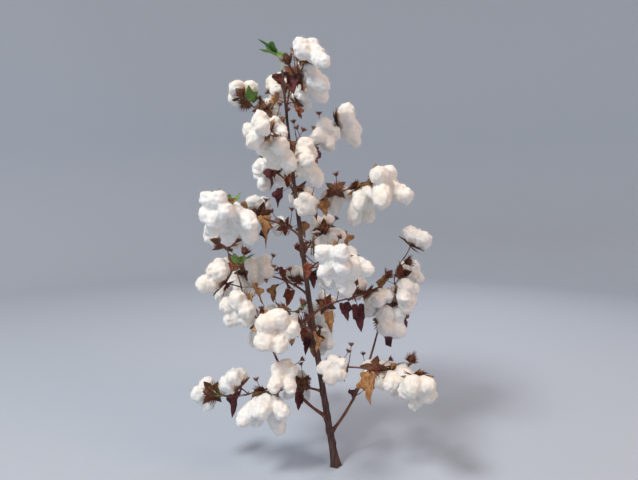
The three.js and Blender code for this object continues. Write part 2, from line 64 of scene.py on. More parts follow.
camera_data = bpy.data.cameras.new("camera")
camera_data.lens = LENS_MM
camera_data.sensor_width = SENSOR_MM
camera = bpy.data.objects.new("camera", camera_data)
camera.location = CAMERA_PLACE
camera.rotation_euler = (math.radians(90 - TILT_DOWN), 0, 0)
bpy.context.scene.collection.objects.link(camera)
bpy.context.scene.camera = camera
print("camera:", LENS_MM, "mm lens, tilted down", TILT_DOWN, "degrees")

# %% [markdown]
# ## Colours and shader nodes
# A colour picker gives colours as sRGB hex values, but light adds up in linear numbers, so one
# function turns the first into the second. A finish is a small graph of shader nodes. One function
# adds a node with its settings, fills its inputs and hands back an output for the next node.
# Patterns are made from a real size in millimetres, so that they don't depend on any mesh.


# %% Helpers for finishes
def linear(code):
    """The linear colour of an sRGB hex code such as "f4f0ea", with full alpha."""
    shares = [int(code[i:i + 2], 16) / 255 for i in (0, 2, 4)]
    return [s / 12.92 if s <= 0.04045 else ((s + 0.055) / 1.055) ** 2.4 for s in shares] + [1.0]


def add_node(material, kind, inputs=None, output=0, **settings):
    """Adds a node. inputs maps a socket to a value or to another node's output."""
    node = material.node_tree.nodes.new(kind)
    for name, value in settings.items():
        setattr(node, name, value)
    for name, source in (inputs or {}).items():
        if isinstance(source, bpy.types.NodeSocket):
            material.node_tree.links.new(source, node.inputs[name])
        else:
            node.inputs[name].default_value = source
    return node.outputs[output] if node.outputs else None


def new_finish(name):
    """An empty material, and the place of each point of the surface in metres."""
    material = bpy.data.materials.new(name)
    material.use_nodes = True
    material.node_tree.nodes.clear()
    return material, add_node(material, "ShaderNodeTexCoord", output="Object")


print("white of the lint in linear numbers:", [round(share, 3) for share in linear("fafaf8")])


# %% [markdown]
# ## Stage
# The plant stands in a wide pale dish, whose floor curves up into a wall all around, so that no
# edge shows from any side. White lint needs a floor that is pale but clearly darker than the lint.
# A studio floor is matt wall paint put on with a roller: acrylic, with an IOR of about 1.5, very
# dull, and with a faint orange peel that keeps a large plain surface from looking dead.

# %% Floor paint
# The peel is really 2 to 3 mm wide, too fine to show, and is drawn at 12 mm.
ORANGE_PEEL_MM = 12

paint, place = new_finish("rolled_matt_paint")
peel = add_node(paint, "ShaderNodeTexNoise", {"Vector": place, "Scale": 1000 / ORANGE_PEEL_MM})
tone = add_node(paint, "ShaderNodeMixRGB", {
    "Fac": peel, "Color1": linear("afbac8"), "Color2": linear("b3becc")})
coat = add_node(paint, "ShaderNodeBsdfPrincipled", {"Base Color": tone, "Roughness": 0.9})
add_node(paint, "ShaderNodeOutputMaterial", {"Surface": coat})
print("floor finish:", paint.name, "with its peel drawn at", ORANGE_PEEL_MM, "mm")

# %% Floor
FLOOR_FLAT = 3.4
FLOOR_BEND = 1.4
FLOOR_TOP = 4.2
BEND_STEPS = 16
FLOOR_SIDES = 96

bend = [math.radians(90 * i / BEND_STEPS) for i in range(BEND_STEPS + 1)]
profile = [(FLOOR_FLAT + FLOOR_BEND * math.sin(a), FLOOR_BEND * (1 - math.cos(a))) for a in bend]
profile += [(FLOOR_FLAT + FLOOR_BEND, FLOOR_TOP)]
turns = [2 * math.pi * i / FLOOR_SIDES for i in range(FLOOR_SIDES)]
floor_points = [(r * math.cos(a), r * math.sin(a), z) for r, z in profile for a in turns]
floor_faces = [tuple(range(FLOOR_SIDES))]
for row in range(len(profile) - 1):
    for i in range(FLOOR_SIDES):
        here = row * FLOOR_SIDES + i
        beside = row * FLOOR_SIDES + (i + 1) % FLOOR_SIDES
        floor_faces.append((here, here + FLOOR_SIDES, beside + FLOOR_SIDES, beside))
floor_mesh = bpy.data.meshes.new("floor")
floor_mesh.from_pydata(floor_points, [], floor_faces)
floor_mesh.shade_smooth()
floor_mesh.materials.append(paint)
floor = bpy.data.objects.new("floor", floor_mesh)
bpy.context.scene.collection.objects.link(floor)
print("floor:", 2 * (FLOOR_FLAT + FLOOR_BEND), "m across")

# %% [markdown]
# ## Light
# The light on the plant comes from the upper left, so one large soft lamp stands there. The shade
# in white lint is warm outdoors, so a weak warm lamp from the right and a warm even light from
# above fill it. A lamp from behind draws a thin bright edge. A lamp throws no light behind itself,
# so each stands well clear of the wall, where that would draw an edge. The Standard view keeps
# white lint white.

# %% Lamps and surroundings
AIM = (-0.05, 0, 0.55)
EVEN_LIGHT_COLOUR, EVEN_LIGHT_STRENGTH = "ecd0ba", 0.48
LAMPS = {
    "sun_lamp": dict(place=(-2.6, -2.6, 4.7), size=1.3, power=228, colour="fffdf8"),
    "fill_lamp": dict(place=(2.3, -1.7, 2.4), size=1.6, power=30, colour="ffd0ac"),
    "rim_lamp": dict(place=(1.1, 2.3, 2.6), size=1.6, power=30, colour="f4f7ff"),
}


def add_lamp(name, place, size, power, colour):
    """A round lamp of a given size in metres and power in watts, turned to the plant."""
    lamp = bpy.data.lights.new(name, "AREA")
    lamp.shape = "DISK"
    lamp.size = size
    lamp.energy = power
    lamp.color = linear(colour)[:3]
    holder = bpy.data.objects.new(name, lamp)
    holder.location = place
    holder.rotation_euler = (Vector(AIM) - Vector(place)).to_track_quat("-Z", "Y").to_euler()
    bpy.context.scene.collection.objects.link(holder)


for lamp_name, settings in LAMPS.items():
    add_lamp(lamp_name, **settings)

world = bpy.data.worlds.new("surroundings")
world.use_nodes = True
even_light = world.node_tree.nodes["Background"].inputs
even_light["Color"].default_value = linear(EVEN_LIGHT_COLOUR)
even_light["Strength"].default_value = EVEN_LIGHT_STRENGTH
bpy.context.scene.world = world
bpy.context.scene.view_settings.view_transform = "Standard"
print("lamps:", ", ".join(LAMPS))

# %% [markdown]
# ## The rule that grew the solids
# A cotton plant grows by a simple plan. The main stem makes a node every few centimetres, and each
# node sends out one fruiting branch, turned about 135 degrees from the one below. The branch goes
# in a zigzag, with one boll at each of its nodes. That plan is written here as a rule with seeded
# numbers: the same seed always gives the same plant. Sizes are in millimetres and degrees, and
# numbers are drawn in the same order as for the solids, so that the two plants agree.


# %% Seeded numbers
def mix(low, high, share):
    return (1 - share) * low + share * high


class SeededNumbers:
    """Numbers from 0 to 1 that come out the same on every run."""

    def __init__(self, seed):
        self.state = seed

    def __call__(self):
        self.state = (self.state * 1664525 + 1013904223) % 2**32
        return self.state / 2**32

    def between(self, span):
        return mix(span[0], span[1], self())

    def jitter(self, most):
        return mix(-most, most, self())


SEED = 20261
SEED_STEP = 7919
first = SeededNumbers(SEED)
print("the first three numbers:", [round(first(), 4) for _ in range(3)])

# %% [markdown]
# ## Directions
# Plain vector arithmetic is enough for a plant: a heading from two angles, and a turn around any
# axis. The turn needs a start that is always the same, so that both plants turn alike.

# %% Vectors
UP = np.array([0.0, 0.0, 1.0])
SIDE = np.array([1.0, 0.0, 0.0])
NEARLY_UPRIGHT = 0.8


def size_of(vector):
    return math.sqrt(vector[0] ** 2 + vector[1] ** 2 + vector[2] ** 2)


def unit(vector):
    return vector / size_of(vector)


def heading(azimuth, elevation):
    """Azimuth runs from +X towards +Y, and elevation is above level."""
    azimuth, elevation = math.radians(azimuth), math.radians(elevation)
    level = math.cos(elevation)
    return np.array([level * math.cos(azimuth), level * math.sin(azimuth), math.sin(elevation)])


def square_to(direction, axis):
    """The unit vector square to axis that lies nearest to direction."""
    return unit(direction - axis * direction.dot(axis))


def around(axis, turn):
    """A direction square to axis, turned by so many degrees from a steady start."""
    first = square_to(SIDE if abs(axis[2]) > NEARLY_UPRIGHT else UP, axis)
    second = np.cross(axis, first)
    return first * math.cos(math.radians(turn)) + second * math.sin(math.radians(turn))


print("north-east and level:", heading(45, 0).round(3))

# %% [markdown]
# ## Bows
# Every twig and stalk is a bow: a curve that leaves along one direction and turns to its end. Three
# points are enough for that, and a fourth would only be one more thing to choose.

# %% Curves
BOW_PULL = 0.45
SHORT_STEP = 0.0001


class Bow:
    """A curve that leaves start along direction and then turns to end."""

    def __init__(self, start, direction, end):
        self.start, self.end = start, end
        self.span = size_of(end - start)
        self.control = start + direction * self.span * BOW_PULL

    def point(self, t):
        t = np.asarray(t, float)[..., None]
        return (1 - t) ** 2 * self.start + 2 * (1 - t) * t * self.control + t**2 * self.end

    def tangent(self, t):
        low, high = max(t - SHORT_STEP, 0), min(t + SHORT_STEP, 1)
        return unit(self.point(high) - self.point(low))


print("middle of a bow that starts upwards:", Bow(UP * 0, UP, SIDE).point(0.5).round(3))

# %% [markdown]
# ## Line of the main stem
# The stem leans to the left as it rises, eases upright and sways a little. It tapers, and spreads
# at its foot. Both are formulas of the height, so any other piece can ask where the stem is and
# how thick it is where they meet.

# %% Line of the main stem
STEM_HEIGHT = 1040
STEM_BASE_RADIUS, STEM_TIP_RADIUS = 9.5, 2.6
FLARE_RADIUS, FLARE_HEIGHT = 6, 24
LEAN_DEG, LEAN_EASE = 10, 0.25
SWAY, SWAY_TURNS = 12, 0.7


def stem_point(height):
    share = height / STEM_HEIGHT
    lean = math.tan(math.radians(LEAN_DEG)) * height * (1 - LEAN_EASE * share)
    sway = SWAY * np.sin(2 * math.pi * SWAY_TURNS * share)
    return np.stack([-lean, sway, height + np.zeros_like(share)], -1)


def stem_radius(height):
    taper = mix(STEM_BASE_RADIUS, STEM_TIP_RADIUS, height / STEM_HEIGHT)
    return taper + FLARE_RADIUS * np.exp(-height / FLARE_HEIGHT)


print("top of the stem in mm:", stem_point(STEM_HEIGHT).round(1))

# %% [markdown]
# ## Room for every piece
# Pieces may not grow through each other. The rule lays a row of beads along each new piece, and
# keeps the piece only if its beads stay clear of all the beads laid before. A bead is a row of
# numbers: its place, its radius, marks for bolls, leaves and twigs, and its owner. numpy tests a
# whole table of distances at once, which keeps this quick.

# %% Beads
BEAD_STEP = 5
TWIG_MARGIN = 1.2
OWN_BOLL_OVERLAP = 0.86
OWN_TWIG_OVERLAP = 0.8
RADIUS, BOLL, LEAF, TWIG, OWNER = 3, 4, 5, 6, 7
taken = np.zeros((0, 8))
owner_numbers = {}


def beads_at(points, radii, boll=0, leaf=0, twig=0):
    points = np.asarray(points, float).reshape(-1, 3)
    marks = np.tile([boll, leaf, twig, -1], (len(points), 1))
    return np.column_stack([points, np.broadcast_to(radii, len(points)), marks])


def beads_along(path, start_radius, end_radius, **marks):
    count = max(2, math.ceil(path.span / BEAD_STEP))
    shares = np.arange(count + 1) / count
    radii = mix(start_radius, end_radius, shares) + TWIG_MARGIN
    return beads_at(path.point(shares), radii, **marks)


def is_clear(candidates, owner):
    """True if every candidate keeps its room from every bead that is taken."""
    new, old = candidates[:, None], taken[None]
    touching = new[..., RADIUS] + old[..., RADIUS]
    boll_by_boll = (old[..., BOLL] > 0) & (new[..., BOLL] > 0)
    boll_by_twig = (old[..., TWIG] > 0) & (new[..., BOLL] > 0)
    leaf_by_boll = (old[..., BOLL] > 0) & (new[..., LEAF] > 0)
    overlap = np.select([boll_by_boll, boll_by_twig, leaf_by_boll],
                        [OWN_BOLL_OVERLAP, OWN_TWIG_OVERLAP, 1], 0)
    is_own = old[..., OWNER] == owner_numbers.get(owner)
    room = np.where(is_own, touching * overlap, touching)
    distance = np.sqrt(((new[..., :3] - old[..., :3]) ** 2).sum(-1))
    return bool((distance >= room).all())


def take(candidates, owner):
    global taken
    number = owner_numbers.setdefault(owner, len(owner_numbers))
    candidates = candidates.copy()
    candidates[:, OWNER] = number
    taken = np.concatenate([taken, candidates])


print("beads along a twig of 80 mm:", len(beads_along(Bow(UP * 0, UP, UP * 80), 2, 1)))

# %% [markdown]
# ## Limbs
# A limb is a bough off the main stem and the zigzag of twigs that goes on from its tip. Each limb
# is written down first as a layout: where it starts, which way it goes, how long and how thick it
# is, and how many bolls it bears. Two low side stems rise like small stems of their own.

# %% Layouts of the fruiting branches
BOLLS_ON_BRANCH = [3] * 12 + [2, 2, 2, 1]
LOWEST_BRANCH, HIGHEST_BRANCH = 200, 985
FIRST_AZIMUTH, SPIRAL = 205, 135
LOW_ELEVATION, HIGH_ELEVATION = 16, 42
LOW_INTERNODE, HIGH_INTERNODE = 132, 62
NEXT_INTERNODE_SHARE, SHORTEST_INTERNODE, TOP_TWIG = 0.6, 64, 34
BOUGH_ROOT_RISE, BOUGH_RADIUS = 16, 3.4
TWIG_RADIUS, TWIG_TIP_RADIUS = 2.1, 1.6
FALL = 9
PEDICEL = 30
TOP_BOLL_SIZE = 0.87


def branch_layouts():
    for i, bolls in enumerate(BOLLS_ON_BRANCH):
        share = i / (len(BOLLS_ON_BRANCH) - 1)
        length = mix(LOW_INTERNODE, HIGH_INTERNODE, share)
        next_length = max(SHORTEST_INTERNODE, length * NEXT_INTERNODE_SHARE)
        yield SimpleNamespace(
            name=f"branch_{i + 1:02d}", mass_name=f"boll_spray_{i + 1:02d}",
            seed=SEED + i * SEED_STEP, height=mix(LOWEST_BRANCH, HIGHEST_BRANCH, share),
            azimuth=FIRST_AZIMUTH + SPIRAL * i, elevation=mix(LOW_ELEVATION, HIGH_ELEVATION, share),
            root_rise=BOUGH_ROOT_RISE, length=length, bolls=bolls, twig_count=max(1, bolls - 1),
            twig_length=next_length if bolls > 1 else TOP_TWIG, fall=FALL,
            root_radius=mix(BOUGH_RADIUS, TWIG_RADIUS + 0.4, share), tip_radius=TWIG_RADIUS,
            pedicel=PEDICEL, boll_size=mix(1, TOP_BOLL_SIZE, share))


print("fruiting branches:", len(BOLLS_ON_BRANCH), "with places for bolls:", sum(BOLLS_ON_BRANCH))

# %% Layouts of the side stems
SIDE_STEMS = [
    dict(height=88, azimuth=50, elevation=52, length=290),
    dict(height=132, azimuth=185, elevation=55, length=270),
]
SIDE_STEM_RADIUS, SIDE_STEM_TIP_RADIUS = 4.6, 2.6
SIDE_STEM_ROOT_RISE, SIDE_STEM_FALL = -22, -5
SIDE_STEM_BOLLS, SIDE_STEM_INTERNODE = 4, 82
SIDE_STEM_PEDICEL = 44


def side_stem_layouts():
    for i, side_stem in enumerate(SIDE_STEMS):
        yield SimpleNamespace(
            **side_stem, name=f"side_stem_{i + 1}", mass_name=f"side_spray_{i + 1}",
            seed=SEED - (i + 1) * SEED_STEP, root_rise=SIDE_STEM_ROOT_RISE, bolls=SIDE_STEM_BOLLS,
            twig_count=SIDE_STEM_BOLLS - 1, twig_length=SIDE_STEM_INTERNODE, fall=SIDE_STEM_FALL,
            root_radius=SIDE_STEM_RADIUS, tip_radius=SIDE_STEM_TIP_RADIUS,
            pedicel=SIDE_STEM_PEDICEL, boll_size=1)


print("side stems:", [layout.name for layout in side_stem_layouts()])

# %% Limbs from layouts
ZIGZAG = 24
AZIMUTH_JITTER, ELEVATION_JITTER = 14, 6
JOINT_GAP = 0.3
ROOT_ZONE = 4
TRIES = 40
TWIG_ROWS = 3


def zigzag(start, direction, azimuth, elevation, layout, hand):
    """Twigs that turn to one side and the other by turns, each starting where the last ended."""
    twigs = []
    point, along = start, direction
    for i in range(layout.twig_count):
        turn = (-1 if i % 2 else 1) * hand * ZIGZAG
        towards = heading(azimuth + turn, elevation - layout.fall * (i + 1))
        twigs.append(Bow(point, along, point + towards * layout.twig_length))
        point, along = twigs[-1].point(1), twigs[-1].tangent(1)
    return twigs


def plan_limb(layout):
    random = SeededNumbers(layout.seed)
    for _ in range(TRIES):
        azimuth = layout.azimuth + random.jitter(AZIMUTH_JITTER)
        elevation = layout.elevation + random.jitter(ELEVATION_JITTER)
        hand = -1 if random() < 0.5 else 1
        root = stem_point(layout.height)
        tip = root + heading(azimuth, elevation) * layout.length
        bough = Bow(root, heading(azimuth, elevation + layout.root_rise), tip)
        direction = bough.tangent(1)
        twigs = zigzag(tip + direction * JOINT_GAP, direction, azimuth, elevation, layout, hand)
        bough_beads = beads_along(bough, layout.root_radius, layout.tip_radius)
        twig_beads = np.concatenate(
            [beads_along(twig, TWIG_RADIUS, TWIG_TIP_RADIUS, twig=1) for twig in twigs])
        free = bough_beads[math.ceil(ROOT_ZONE * layout.root_radius / BEAD_STEP) + 1:]
        if is_clear(np.concatenate([free, twig_beads]), layout.name):
            take(bough_beads, layout.name)
            take(twig_beads, layout.mass_name)
            return SimpleNamespace(layout=layout, bough=bough, twigs=twigs, hand=hand,
                                   bolls=[], closed=[], leaves=[], bare=[])
    return None


def sites_of(limb):
    """The nodes of the zigzag, the first of them a step beyond the bough, and its very tip."""
    sites = []
    for i, twig in enumerate(limb.twigs):
        t = 0 if i else 1 / TWIG_ROWS
        sites.append(SimpleNamespace(point=twig.point(t), direction=twig.tangent(t), tip=False))
    outer = limb.twigs[-1]
    return sites + [SimpleNamespace(point=outer.point(1), direction=outer.tangent(1), tip=True)]


print("turn of each twig of a zigzag:", ZIGZAG, "degrees")

# %% [markdown]
# ## Open bolls
# A ripe boll splits into four or five valves, and a white lock of lint swells out of each gap. The
# rule holds each boll on a short stalk beside its node, and hangs the lower locks of some bolls out
# longer, as wind and rain do.

# %% One boll
SIDEWAYS, SIDEWAYS_AT_TIP = (0.6, 1.1), (-0.3, 0.3)
FORWARD, LIFT, NOD = (0.1, 0.5), (-0.35, 0.6), (-0.5, 1)
BOLL_SPREAD, PEDICEL_SPREAD = (0.92, 1.08), (0.85, 1.2)
BURR_DEPTH, STALK_END = 11, 0.8
STRUNG_SHARE, FOUR_LOCK_SHARE = 0.3, 0.4


def draw_boll(random, site, side, layout):
    sideways = random.between(SIDEWAYS_AT_TIP) if site.tip else side * random.between(SIDEWAYS)
    forward = 1 if site.tip else random.between(FORWARD)
    lift = random.between(LIFT)
    nod = random.between(NOD)
    size = layout.boll_size * random.between(BOLL_SPREAD)
    reach = layout.pedicel * random.between(PEDICEL_SPREAD)
    strung = random() < STRUNG_SHARE
    lock_count = 4 if random() < FOUR_LOCK_SHARE else 5
    roll = random.between((0, 360))
    across = unit(np.cross(site.direction, UP))
    outward = unit(site.direction * forward + across * sideways + UP * lift)
    centre = site.point + outward * reach
    axis = unit(outward - UP * nod)
    foot = centre - axis * STALK_END * BURR_DEPTH * size
    return SimpleNamespace(
        pedicel=Bow(site.point, site.direction if site.tip else outward, foot), centre=centre,
        axis=axis, size=size, strung=strung, lock_count=lock_count, roll=roll)


print("share of the bolls that have four locks:", FOUR_LOCK_SHARE)

# %% Locks of a boll
LOCK_LENGTH, LOCK_WIDTH, LOCK_SPREAD, LOCK_SAG, LOCK_JITTER = 50, 44, 50, 0.14, 7
LOCK_LENGTH_SPREAD, LOCK_SAG_SPREAD, LOCK_WIDTH_SPREAD = (0.9, 1.1), (0.6, 1.4), (0.92, 1.08)
STRUNG_LENGTH = 1.5


def draw_locks(random, boll):
    locks = []
    for i in range(boll.lock_count):
        turn = boll.roll + 360 / boll.lock_count * i + random.jitter(LOCK_JITTER)
        spread = math.radians(LOCK_SPREAD + random.jitter(LOCK_JITTER))
        direction = boll.axis * math.cos(spread) + around(boll.axis, turn) * math.sin(spread)
        stretch = STRUNG_LENGTH if boll.strung and direction[2] < 0 else 1
        length = LOCK_LENGTH * boll.size * stretch * random.between(LOCK_LENGTH_SPREAD)
        droop = length * LOCK_SAG * stretch * random.between(LOCK_SAG_SPREAD)
        width = LOCK_WIDTH * boll.size * random.between(LOCK_WIDTH_SPREAD)
        tip = boll.centre + direction * length - UP * droop
        locks.append(SimpleNamespace(path=Bow(boll.centre, direction, tip), width=width))
    return locks


print("a full lock is", LOCK_LENGTH, "mm long and", LOCK_WIDTH, "mm wide")

# %% [markdown]
# ## A place for every boll
# A boll is drawn again with new numbers until it finds a place where it touches nothing. Every
# fourth try goes to the other side of the branch. Moving a boll aside by physics would also clear
# it, but then the solids and these surfaces could come out apart.

# %% A place for every boll
LOCK_SWELLS = [(0.34, 0.4), (0.6, 0.5), (0.8, 0.41)]
HUB_RADIUS, VALVE_MIDDLE, VALVE_ROOM, BOLL_MARGIN = 12, 37 * 0.8, 8, 1.5
BOLL_SEED = 31
FLIP_EVERY = 4
LOWEST_FRUIT = 25


def boll_beads(boll):
    """Beads for the hub, the locks, the valves between them, and the stalk."""
    shares, swells = np.array(LOCK_SWELLS).T
    locks = [beads_at(lock.path.point(shares), lock.width * swells, boll=1) for lock in boll.locks]
    valve_turns = [boll.roll + 360 / boll.lock_count * (i + 0.5) for i in range(boll.lock_count)]
    valves = [boll.centre + around(boll.axis, turn) * VALVE_MIDDLE * boll.size
              for turn in valve_turns]
    hub = beads_at(boll.centre, HUB_RADIUS * boll.size, boll=1)
    stalk = beads_along(boll.pedicel, TWIG_RADIUS, TWIG_RADIUS)[2:]
    beads = np.concatenate([hub, *locks, beads_at(valves, VALVE_ROOM), stalk])
    beads[:, RADIUS] += BOLL_MARGIN
    return beads


def plan_bolls(limb):
    random = SeededNumbers(limb.layout.seed + BOLL_SEED)
    for i, site in enumerate(sites_of(limb)[-limb.layout.bolls:]):
        side = (1 if i % 2 else -1) * limb.hand
        for attempt in range(TRIES):
            flip = -1 if attempt % FLIP_EVERY == FLIP_EVERY - 1 else 1
            boll = draw_boll(random, site, side * flip, limb.layout)
            boll.locks = draw_locks(random, boll)
            own = boll_beads(boll)
            low = (own[:, 2] - own[:, RADIUS]).min()
            if low >= LOWEST_FRUIT and is_clear(own, limb.layout.mass_name):
                take(own, limb.layout.mass_name)
                limb.bolls.append(boll)
                break


print("every boll stays at least", LOWEST_FRUIT, "mm above the foot of the stem")

# %% [markdown]
# ## Closed bolls
# A few late bolls dried up before they could open. The rule puts one at the end of a short spur on
# some of the outer twigs.

# %% Closed bolls
CLOSED_SEED = 47
CLOSED_SHARE = 0.5
CLOSED_LENGTH, CLOSED_ROOM = 27, 20 * 0.6
SPUR, SPUR_SPREAD, SPUR_TURN, SPUR_FORWARD = 42, (0.8, 1.2), 80, 0.7


def plan_closed_boll(limb):
    random = SeededNumbers(limb.layout.seed + CLOSED_SEED)
    if limb.layout.bolls < 2 or random() > CLOSED_SHARE:
        return
    outer = limb.twigs[-1]
    point, along = outer.point(2 / TWIG_ROWS), outer.tangent(2 / TWIG_ROWS)
    for _ in range(TRIES):
        direction = unit(around(along, random.jitter(SPUR_TURN)) + along * SPUR_FORWARD)
        centre = point + direction * SPUR * random.between(SPUR_SPREAD)
        spur = Bow(point, direction, centre)
        body = beads_at(centre + direction * CLOSED_LENGTH / 2, CLOSED_ROOM)
        own = np.concatenate([body, beads_along(spur, TWIG_RADIUS, TWIG_RADIUS)[3:]])
        free = own.copy()
        free[:, LEAF] = 1
        if is_clear(free, limb.layout.mass_name):
            take(own, limb.layout.mass_name)
            limb.closed.append(SimpleNamespace(spur=spur, centre=centre, axis=direction))
            return


print("a closed boll is", CLOSED_LENGTH, "mm long")

# %% [markdown]
# ## Leaves
# The plant has shed nearly all its leaves. Some hang dry from their stalks, and small green ones
# sprout again at the tips of the limbs and at the very top.

# %% Leaves
LEAF_SEED = 67
DRY_LEAF, DRY_LIFT, DRY_HANG, DRY_LEAF_SHARE = 52, (-0.9, 0.2), 1.6, 0.5
GREEN_LEAF, GREEN_LIFT, GREEN_SHARE, GREEN_TUFT = 34, (0.3, 1), 0.4, 2
LEAF_SPREAD, STALK_SPREAD, LEAF_FORWARD, STALK_RADIUS = (0.75, 1.15), (0.5, 0.8), 0.4, 1
BLADE_BEADS, BLADE_ROOM = (0.25, 0.7), 0.3


def draw_leaf(random, site, green):
    reach = (GREEN_LEAF if green else DRY_LEAF) * random.between(LEAF_SPREAD)
    stalk_length = reach * random.between(STALK_SPREAD)
    lift = random.between(GREEN_LIFT if green else DRY_LIFT)
    swing = heading(random.between((0, 360)), 0)
    out = unit(site.direction * LEAF_FORWARD + swing + UP * lift)
    base = site.point + out * stalk_length
    along = unit(out + UP * (0 if green else -DRY_HANG))
    face = square_to(UP if green else swing, along)
    return SimpleNamespace(stalk=Bow(site.point, out, base), base=base, along=along, face=face,
                           reach=reach, green=green)


def leaf_beads(leaf):
    blade = [leaf.base + leaf.along * leaf.reach * share for share in BLADE_BEADS]
    stalk = beads_along(leaf.stalk, STALK_RADIUS, STALK_RADIUS)[2:]
    return np.concatenate([beads_at(blade, leaf.reach * BLADE_ROOM, leaf=1), stalk])


def plan_leaves(limb):
    random = SeededNumbers(limb.layout.seed + LEAF_SEED)
    for site in sites_of(limb):
        if random() > (GREEN_SHARE if site.tip else DRY_LEAF_SHARE):
            continue
        wanted = GREEN_TUFT if site.tip else 1
        for _ in range(TRIES):
            if not wanted:
                break
            leaf = draw_leaf(random, site, site.tip)
            own = leaf_beads(leaf)
            if is_clear(own, limb.layout.mass_name):
                take(own, limb.layout.mass_name)
                limb.leaves.append(leaf)
                wanted -= 1


print("size of a dry leaf in mm:", DRY_LEAF, "and of a green one:", GREEN_LEAF)

# %% [markdown]
# ## Shoot at the top
# The main stem ends in a short green shoot with three leaves. It stands on the stem's tip with a
# hair's gap, as every solid does, and its leaves take their room first, because it can't move.

# %% Shoot at the top
SHOOT_SEED = 99
TOP_TUFT = 3
SHOOT_LENGTH, SHOOT_AZIMUTH, SHOOT_ELEVATION = 38, 150, 78
SHOOT_LEAF_SHARE, SHOOT_LEAF_AZIMUTH, SHOOT_LEAF_ELEVATION = 0.85, 20, 30


def plan_top_shoot():
    random = SeededNumbers(SEED + SHOOT_SEED)
    root = stem_point(STEM_HEIGHT) + UP * JOINT_GAP
    path = Bow(root, UP, root + heading(SHOOT_AZIMUTH, SHOOT_ELEVATION) * SHOOT_LENGTH)
    leaves = []
    for i in range(TOP_TUFT):
        direction = heading(SHOOT_LEAF_AZIMUTH + 360 / TOP_TUFT * i, SHOOT_LEAF_ELEVATION)
        site = SimpleNamespace(point=path.point(SHOOT_LEAF_SHARE), direction=direction)
        leaves.append(draw_leaf(random, site, True))
    return SimpleNamespace(path=path, leaves=leaves)


print("leaves on the top shoot:", TOP_TUFT)

# %% [markdown]
# ## Grow the plant
# The order matters, because what is laid first keeps its room: the stem and its shoot, then every
# limb, then the bolls of all limbs, and the leaves last. A limb that finds no room is left out.

# %% Grow the plant of the solids
bead_count = math.ceil(STEM_HEIGHT / BEAD_STEP)
bead_heights = STEM_HEIGHT * np.arange(bead_count + 1) / bead_count
take(beads_at(stem_point(bead_heights), stem_radius(bead_heights) + TWIG_MARGIN), "main_stem")
top_shoot = plan_top_shoot()
for leaf in top_shoot.leaves:
    take(leaf_beads(leaf), "top_shoot")
plans = [plan_limb(layout) for layout in [*side_stem_layouts(), *branch_layouts()]]
limbs = [limb for limb in plans if limb]
for plan_step in (plan_bolls, plan_closed_boll, plan_leaves):
    for limb in limbs:
        plan_step(limb)
bough_names = [limb.layout.name for limb in limbs]
mass_names = [limb.layout.mass_name for limb in limbs]
for kind in ("bolls", "closed", "leaves"):
    print(kind, "on the limbs:", sum(len(getattr(limb, kind)) for limb in limbs))

# %% [markdown]
# ## Finer growth
# The solids carry the main bolls only. A real plant has more: small late bolls close to the stem
# and between the large ones, more withered leaves, and thin bare twigs with a dried flower bud.
# They grow here by the same rule, only where there is room and only within the plant's reach.

# %% Places for finer growth
LATE_BOUGH_SHARES, LATE_TWIG_SHARE = (0.45, 0.72), 0.5
REACH_ROOM = 6


def late_sites(limb):
    """Places along the bough and halfway along each twig, where a bud can wake up late."""
    places = [(limb.bough, share) for share in LATE_BOUGH_SHARES]
    places += [(twig, LATE_TWIG_SHARE) for twig in limb.twigs]
    return [SimpleNamespace(point=path.point(t), direction=path.tangent(t), tip=False)
            for path, t in places]


plant_low = (taken[:, :3] - taken[:, RADIUS, None]).min(0) + REACH_ROOM
plant_high = (taken[:, :3] + taken[:, RADIUS, None]).max(0) - REACH_ROOM
plant_low[2] = LOWEST_FRUIT


def fits_in(beads, limb):
    """True if the beads are clear of the rest and lie within the plant's reach."""
    radii = beads[:, RADIUS, None]
    is_low_enough = (beads[:, :3] + radii <= plant_high).all()
    is_high_enough = (beads[:, :3] - radii >= plant_low).all()
    return is_low_enough and is_high_enough and is_clear(beads, limb.layout.mass_name)


print("reach in mm:", plant_low.round(), "to", plant_high.round())

# %% Late bolls
LATE_SEED = 151
LATE_SIZE, LATE_PEDICEL, LATE_TRIES = 0.74, 24, 60


def plan_late_boll(limb):
    random = SeededNumbers(limb.layout.seed + LATE_SEED)
    small = SimpleNamespace(boll_size=limb.layout.boll_size * LATE_SIZE, pedicel=LATE_PEDICEL)
    for site in late_sites(limb):
        for _ in range(LATE_TRIES):
            boll = draw_boll(random, site, 1 if random() < 0.5 else -1, small)
            boll.locks = draw_locks(random, boll)
            own = boll_beads(boll)
            if fits_in(own, limb):
                take(own, limb.layout.mass_name)
                limb.bolls.append(boll)
                return


print("a late boll is", LATE_SIZE, "times as large as a full one")

# %% Withered leaves and bare twigs
WITHERED_SEED, BARE_SEED = 173, 197
WITHERED_SIZE, WITHERED_PER_LIMB = 0.68, 2
BARE_SITES, BARE_FORWARD, BARE_RISE, BARE_LIFT = 3, 0.5, (-10, 60), 0.25
BARE_LENGTH, BARE_RADIUS, BUD_ROOM = (36, 72), 1.2, 7


def plan_withered_leaves(limb):
    random = SeededNumbers(limb.layout.seed + WITHERED_SEED)
    wanted = WITHERED_PER_LIMB
    for site in late_sites(limb):
        for _ in range(TRIES if wanted else 0):
            leaf = draw_leaf(random, site, False)
            leaf.reach *= WITHERED_SIZE
            own = leaf_beads(leaf)
            if fits_in(own, limb):
                take(own, limb.layout.mass_name)
                limb.leaves.append(leaf)
                wanted -= 1
                break


